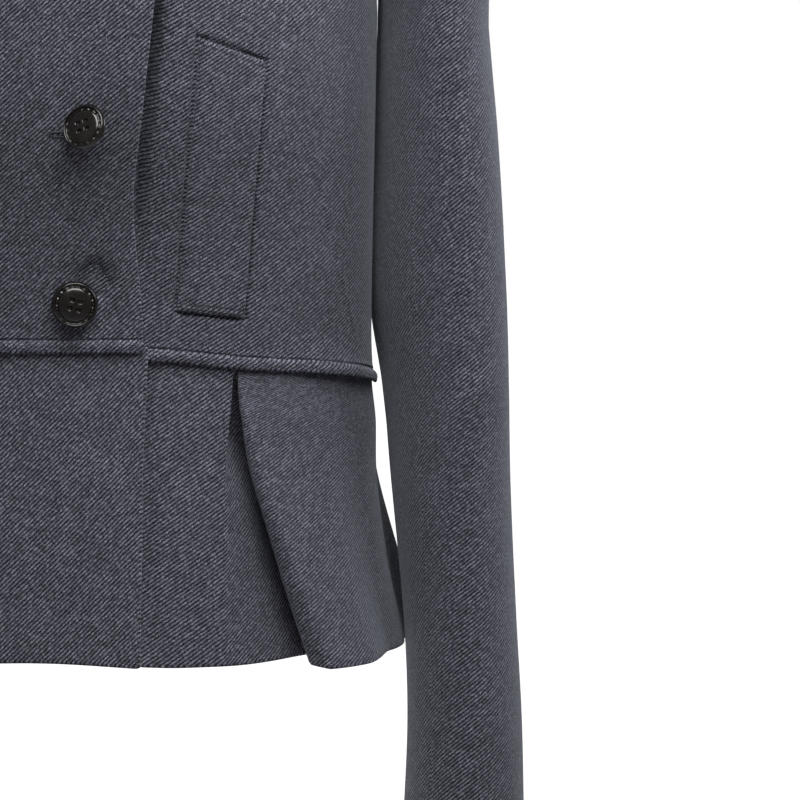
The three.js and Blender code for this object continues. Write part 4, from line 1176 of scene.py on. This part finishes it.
waistStitches = []
for name, surface, us, seamAt, reachAt, facing, seed in (
        ("Right", rightFront, np.linspace(-0.985, 0.995, 400), overlappingSeamAt, flapReachAt, -1, 3),
        ("Left", leftFront, np.linspace(0.0, 0.995, 300), underlappingSeamAt, underlapReachAt, 1, 4),
        ("Back", back, np.linspace(-0.995, 0.995, 700), backSeamAt, noReach, -1, 5)):
    row = stitchRow(us, seamAt, reachAt)
    waistStitches.append(stitchLine(f"waistStitch{name}", surface, us, row, facing, seed))
rightStitch, leftStitch, backStitch = waistStitches

weltStitches = []
across = np.linspace(*stitches["weltSpan"], 60)
for side, surface, facing in weltSides:
    for row, place in stitches["weltRows"]:
        up = np.full(across.shape, place)
        weltStitches.append(stitchLine(f"weltStitch{side}{row}", surface, across, up, facing, 7))
print("stitching built")

# buttons

button = {
    # radius and height in mm, from the middle of the dome out over the groove and rim to the underside
    "section": [(0, 3.25), (1.2, 3.24), (2.6, 3.18), (4.0, 3.06), (5.4, 2.88), (6.6, 2.62), (7.3, 2.38),
                (7.68, 2.1), (7.9, 1.7), (8.25, 1.42), (8.75, 1.42), (9.05, 1.75), (9.25, 2.3), (9.5, 2.72),
                (9.8, 2.74), (10.1, 2.4), (10.5, 1.85), (10.78, 1.3), (10.7, 0.7), (10.1, 0.25), (9.0, 0.05),
                (5.0, 0.0), (1.9, 0.0), (1.0, 0.3), (0, 0.3)],
    "upperLength": 13.5,  # length of the section that belongs to the upper face
    "around": 108, "rings": 84, "smallest": 0.02,
    "dashes": 16, "dashRise": 0.6, "dashRadius": 8.4, "dashWidth": 0.36, "dashSquareness": 1.4,
    "holeRadius": 1.18, "holeOffset": 1.95, "holeDepth": 1.5, "pitFrom": 0.72, "pitTo": 1.08,
    "holeLip": 0.10, "lipAt": 1.25, "lipWidth": 0.22,
    "rows": [  # name, x, z, stand-off, foot, tilt, toward, turn of the holes left and right
        ("1", 35, -127, 2.6, 0.45, 0, 0, 12, 40), ("2", 36, -209, 2.6, -0.2, 0, 0, -25, 5),
        ("3", 37.0, -292.8, 7.6, -0.2, 47, 138, 10, 30), ("4", 28, -372, 3.4, 0.6, 6, 60, -15, -8),
    ],
}
shank = {
    "radius": 1.35, "flare": 0.35, "footRadius": 1.6, "ridge": 0.1, "turnPitch": 0.55,
    "below": -0.35, "intoButton": 0.2, "rings": 22, "around": 16,
}
spotSearch = {"rounds": 30, "step": 1e-4, "roughWidth": 300}


# u and v of the places on the overlapping front whose x and z are given, by Newton steps
def spotOnFront(x, z):
    u, v = -x / spotSearch["roughWidth"], np.full(np.shape(x), bustShare)
    step = spotSearch["step"]
    for _ in range(spotSearch["rounds"]):
        here = rightFrontCut(u, v)
        slopeU = (rightFrontCut(u + step, v) - here) / step
        slopeV = (rightFrontCut(u, v + step) - here) / step
        (xu, zu), (xv, zv) = (slopeU[..., 0], slopeU[..., 2]), (slopeV[..., 0], slopeV[..., 2])
        missX, missZ = x - here[..., 0], z - here[..., 2]
        determinant = xu * zv - xv * zu
        u = u + (missX * zv - xv * missZ) / determinant
        v = v + (xu * missZ - missX * zu) / determinant
    return u, v


# the foot, face direction and the two ways across a button on the overlapping front. The face leans by tilt
# degrees about the cross of the front's normal and the way it leans to
def buttonPlace(x, z, foot, tilt, toward, turn):
    u, v = spotOnFront(np.array([float(x)]), np.array([float(z)]))
    at = rightFrontCut(u, v)[0]
    normal = normalsOf(rightFrontCut, u, v, -1)[0]
    a, lean, t = math.radians(toward), math.radians(tilt), math.radians(turn)
    hinge = unit(np.cross(normal, [math.cos(a), 0, math.sin(a)]))
    face = normal * math.cos(lean) + np.cross(hinge, normal) * math.sin(lean)
    base = at + normal * (foot + shank["footRadius"] * math.sin(lean))
    side = unit(np.array([1, 0, 0]) - face * face[0])
    top = np.cross(face, side)
    return base, face, side * math.cos(t) + top * math.sin(t), top * math.cos(t) - side * math.sin(t)


# points of a button or shank, whose z runs along face, set in their place
def placed(local, base, face, side, top):
    return base + local[:, :1] * side + local[:, 1:2] * top + local[:, 2:] * face


# a turned section with dashes in its groove and four holes: the height of a point is the section's height,
# plus a bell across the groove times a square-ish wave round it, less a smooth pit at each hole with a lip
# about it
def buttonMesh(name, place, standOff):
    section = np.array(button["section"], float)
    knots = np.concatenate([[0], np.cumsum(np.hypot(*np.diff(section, axis=0).T))])
    radiusAt, heightAt = curveThrough(knots, section[:, 0]), curveThrough(knots, section[:, 1])
    rings, around, hole = button["rings"], button["around"], button["holeRadius"]
    s = np.linspace(0, knots[-1], rings + 2)[1:-1]
    a = np.arange(around) * 2 * np.pi / around
    radius = np.maximum(radiusAt(s), button["smallest"])[:, None] * np.ones(around)
    height = heightAt(s)[:, None] * np.ones(around)
    upper = (s < button["upperLength"])[:, None]
    wave = np.clip(0.5 + button["dashSquareness"] * np.cos(a * button["dashes"]), 0, 1)
    dash = np.exp(-((radius - button["dashRadius"]) / button["dashWidth"]) ** 2) * wave
    height = height + np.where(upper, button["dashRise"] * dash, 0)
    x, y = radius * np.cos(a), radius * np.sin(a)
    for i, j in ((1, 1), (1, -1), (-1, 1), (-1, -1)):
        away = np.hypot(x - i * button["holeOffset"], y - j * button["holeOffset"])
        pit = 1 - ramp(away, hole * button["pitFrom"], hole * button["pitTo"])
        lip = button["holeLip"] * np.exp(-((away - hole * button["lipAt"]) / button["lipWidth"]) ** 2)
        height = height + np.where(upper, lip - button["holeDepth"] * pit, 0)
    local = np.concatenate([np.stack([x, y, height + standOff], -1).reshape(-1, 3),
                            [[0, 0, section[0, 1] + standOff], [0, 0, section[-1, 1] + standOff]]])
    quads, poles = ringFaces(rings, around, -1)
    return makeMesh(name, placed(local, *place), list(quads) + list(poles), buttonPlastic)


# the thread shank: a waisted cylinder with a ridge for each turn of thread, closed at both ends
def shankMesh(name, place, standOff):
    rings, around = shank["rings"], shank["around"]
    t = np.linspace(shank["below"], standOff + shank["intoButton"], rings)
    a = np.arange(around) * 2 * np.pi / around
    flare = shank["flare"] * np.abs(2 * (t - t[0]) / (t[-1] - t[0]) - 1) ** 2
    radius = shank["radius"] + flare + shank["ridge"] * np.cos(t * 2 * np.pi / shank["turnPitch"])
    local = np.stack([radius[:, None] * np.cos(a), radius[:, None] * np.sin(a),
                      t[:, None] * np.ones(around)], -1)
    local = np.concatenate([local.reshape(-1, 3), [[0, 0, t[0]], [0, 0, t[-1]]]])
    quads, poles = ringFaces(rings, around)
    return makeMesh(name, placed(local, *place), list(quads) + list(poles), sewingThread)


for name, x, z, standOff, foot, tilt, toward, turnLeft, turnRight in button["rows"]:
    for side, sign, turn in (("left", 1, turnLeft), ("right", -1, turnRight)):
        place = buttonPlace(sign * x, z, foot, tilt if sign > 0 else 0, toward, turn)
        coatButton = buttonMesh(f"coatButton{side.title()}{name}", place, standOff)
        threadShank = shankMesh(f"buttonShank{side.title()}{name}", place, standOff)
        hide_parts(f"button_{side}_{name}")
print("buttons built")

# buttonholes beside the left column

buttonhole = {
    "inner": 17.8, "outer": 37.0, "halfWidth": 1.25, "endPower": 0.8, "sidePower": 0.45, "below": 1.0,
    "tube": 0.55, "bead": 0.13, "beads": 66, "rise": 0.15, "around": 200, "spokes": 7,
}


# a cosine or sine made squarer, its sign times its size to a power below 1
def squared(wave, power):
    return np.sign(wave) * np.abs(wave) ** power


# a closed stadium path laid on the front, carried round by a small circle that swells with each bead of
# thread
def buttonholeMesh(name, z):
    count, spokes = buttonhole["around"], buttonhole["spokes"]
    t = np.linspace(0, 2 * np.pi, count, endpoint=False)
    middle = (buttonhole["inner"] + buttonhole["outer"]) / 2
    half = (buttonhole["outer"] - buttonhole["inner"]) / 2
    x = middle + half * squared(np.cos(t), buttonhole["endPower"])
    zs = z + buttonhole["halfWidth"] * squared(np.sin(t), buttonhole["sidePower"])
    u, v = spotOnFront(x, zs)
    line, normal = rightFront(u, v), normalsOf(rightFront, u, v, -1)
    way = unit(np.roll(line, -1, 0) - np.roll(line, 1, 0))
    aside = np.cross(normal, way)
    a = np.arange(spokes)[:, None] * 2 * np.pi / spokes
    radius = buttonhole["tube"] + buttonhole["bead"] * np.cos(buttonhole["beads"] * t)
    ring = (aside[:, None] * np.cos(a) + normal[:, None] * np.sin(a)) * radius[:, None, None]
    points = (line + normal * buttonhole["rise"])[:, None] + ring
    index = np.arange(count * spokes).reshape(count, spokes)
    after, beside = np.roll(index, -1, 0), np.roll(index, -1, 1)
    quads = np.stack([index, beside, np.roll(after, -1, 1), after], -1).reshape(-1, 4)
    made = makeMesh(name, points.reshape(-1, 3), quads, sewingThread)
    return made


buttonholes = [buttonholeMesh(f"buttonhole{row[0]}", row[2] - buttonhole["below"]) for row in button["rows"]]
print("buttonholes built")

# cloth: widths and lengths as cut, in metres

# piece, width and length, flat area, how it is held, what it hangs from or lies on, what goes with it
cut = [
    (frontRight, (0.300, 0.430), 0.1109, "hung", ["backCloth"], [rightStitch] + buttonholes),
    (frontLeft, (0.290, 0.430), 0.1047, "hung", ["backCloth"], [leftStitch]),
    (backPiece, (0.470, 0.420), 0.1696, "hung", ["collarCloth"], [backStitch]),
    (peplumRight, (0.350, 0.145), 0.0498, "hung", ["frontRightCloth"], []),
    (peplumLeft, (0.335, 0.145), 0.0475, "hung", ["frontLeftCloth"], []),
    (peplumBack, (0.560, 0.145), 0.0775, "hung", ["backCloth"], []),
    (sleeves["sleeveLeftTop"], (0.215, 0.620), 0.1022, "hung", ["frontLeftCloth", "backCloth"], []),
    (sleeves["sleeveLeftUnder"], (0.115, 0.470), 0.0433, "hung", ["frontLeftCloth", "backCloth"], []),
    (sleeves["sleeveRightTop"], (0.215, 0.620), 0.1022, "hung", ["frontRightCloth", "backCloth"], []),
    (sleeves["sleeveRightUnder"], (0.115, 0.470), 0.0433, "hung", ["frontRightCloth", "backCloth"], []),
    (collarPiece, (0.410, 0.030), 0.0119, "hung", [], []),
    (welts["Left"], (0.033, 0.128), 0.0041, "laid", ["frontLeftCloth"], weltStitches[:3]),
    (welts["Right"], (0.033, 0.128), 0.0041, "laid", ["frontRightCloth"], weltStitches[3:]),
]
for piece, flat, area, held, rests, extras in cut:
    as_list(rests)
    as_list(extras)

# floor, light and camera

studio = {
    "floorZ": -1.42, "floorSize": 60.0, "ambient": 0.16, "backdrop": 1.0,
    # name, place, looks at, size, watts, colour
    "lights": [
        ("keySoftbox", (0.17, -0.54, 0.31), (0.09, -0.12, -0.3), 0.7, 13.2, (1.0, 0.995, 0.985)),
        ("sideSoftbox", (1.1, -0.08, 0.14), (0.24, 0, -0.32), 0.5, 5.2, (1.0, 1.0, 1.0)),
        ("fillSoftbox", (-2.2, -2.4, 0.6), (0.1, -0.1, -0.35), 2.2, 1.5, (0.98, 0.99, 1.0)),
        ("topSoftbox", (0.2, -0.5, 1.6), (0.1, -0.1, -0.3), 1.2, 4, (1.0, 1.0, 1.0)),
        ("backSoftbox", (-1.4, 2.4, 0.9), (0, 0.1, -0.3), 1.8, 46, (1.0, 1.0, 1.0)),
    ],
}


# puts a light or camera at place, looking along its own -Z at target
def aimed(thing, place, target):
    thing.location = place
    thing.rotation_euler = (Vector(target) - Vector(place)).to_track_quat("-Z", "Y").to_euler()


half, floorZ = studio["floorSize"] / 2, studio["floorZ"]
floorMesh = bpy.data.meshes.new("studioFloor")
floorMesh.from_pydata([(-half, -half, floorZ), (half, -half, floorZ),
                       (half, half, floorZ), (-half, half, floorZ)], [], [(0, 1, 2, 3)])
floorMesh.materials.append(floorMaterial())
studioFloor = bpy.data.objects.new("studioFloor", floorMesh)
scene.collection.objects.link(studioFloor)

world = bpy.data.worlds.new("softStudio")
world.use_nodes = True
skyTree = world.node_tree
sky = skyTree.nodes["Background"]
sky.inputs["Color"].default_value = (1.0, 1.0, 1.0, 1.0)
ray = skyTree.nodes.new("ShaderNodeLightPath")
strength = rangeNode(skyTree, ray.outputs["Is Camera Ray"], 0, 1, studio["ambient"], studio["backdrop"])
linked(skyTree, strength, sky.inputs["Strength"])
scene.world = world
for name, place, target, size, watts, colour in studio["lights"]:
    lamp = bpy.data.lights.new(name, "AREA")
    lamp.shape, lamp.size, lamp.energy, lamp.color = "SQUARE", size, watts, colour
    holder = bpy.data.objects.new(name, lamp)
    holder.visible_camera = False
    scene.collection.objects.link(holder)
    aimed(holder, place, target)

view = {
    "place": (0.0, -2.605, -0.25), "target": (0.1785, -0.105, -0.417),
    "halfWidth": 0.184, "distance": 2.5, "sensor": 36.0, "clipEnd": 200.0,
}
cameraData = bpy.data.cameras.new("photoCamera")
cameraData.sensor_width = view["sensor"]
cameraData.lens = view["sensor"] / 2 * view["distance"] / view["halfWidth"]
cameraData.clip_end = view["clipEnd"]
camera = bpy.data.objects.new("photoCamera", cameraData)
scene.collection.objects.link(camera)
aimed(camera, view["place"], view["target"])
scene.camera = camera
scene.view_settings.view_transform = "Standard"
print("studio ready")
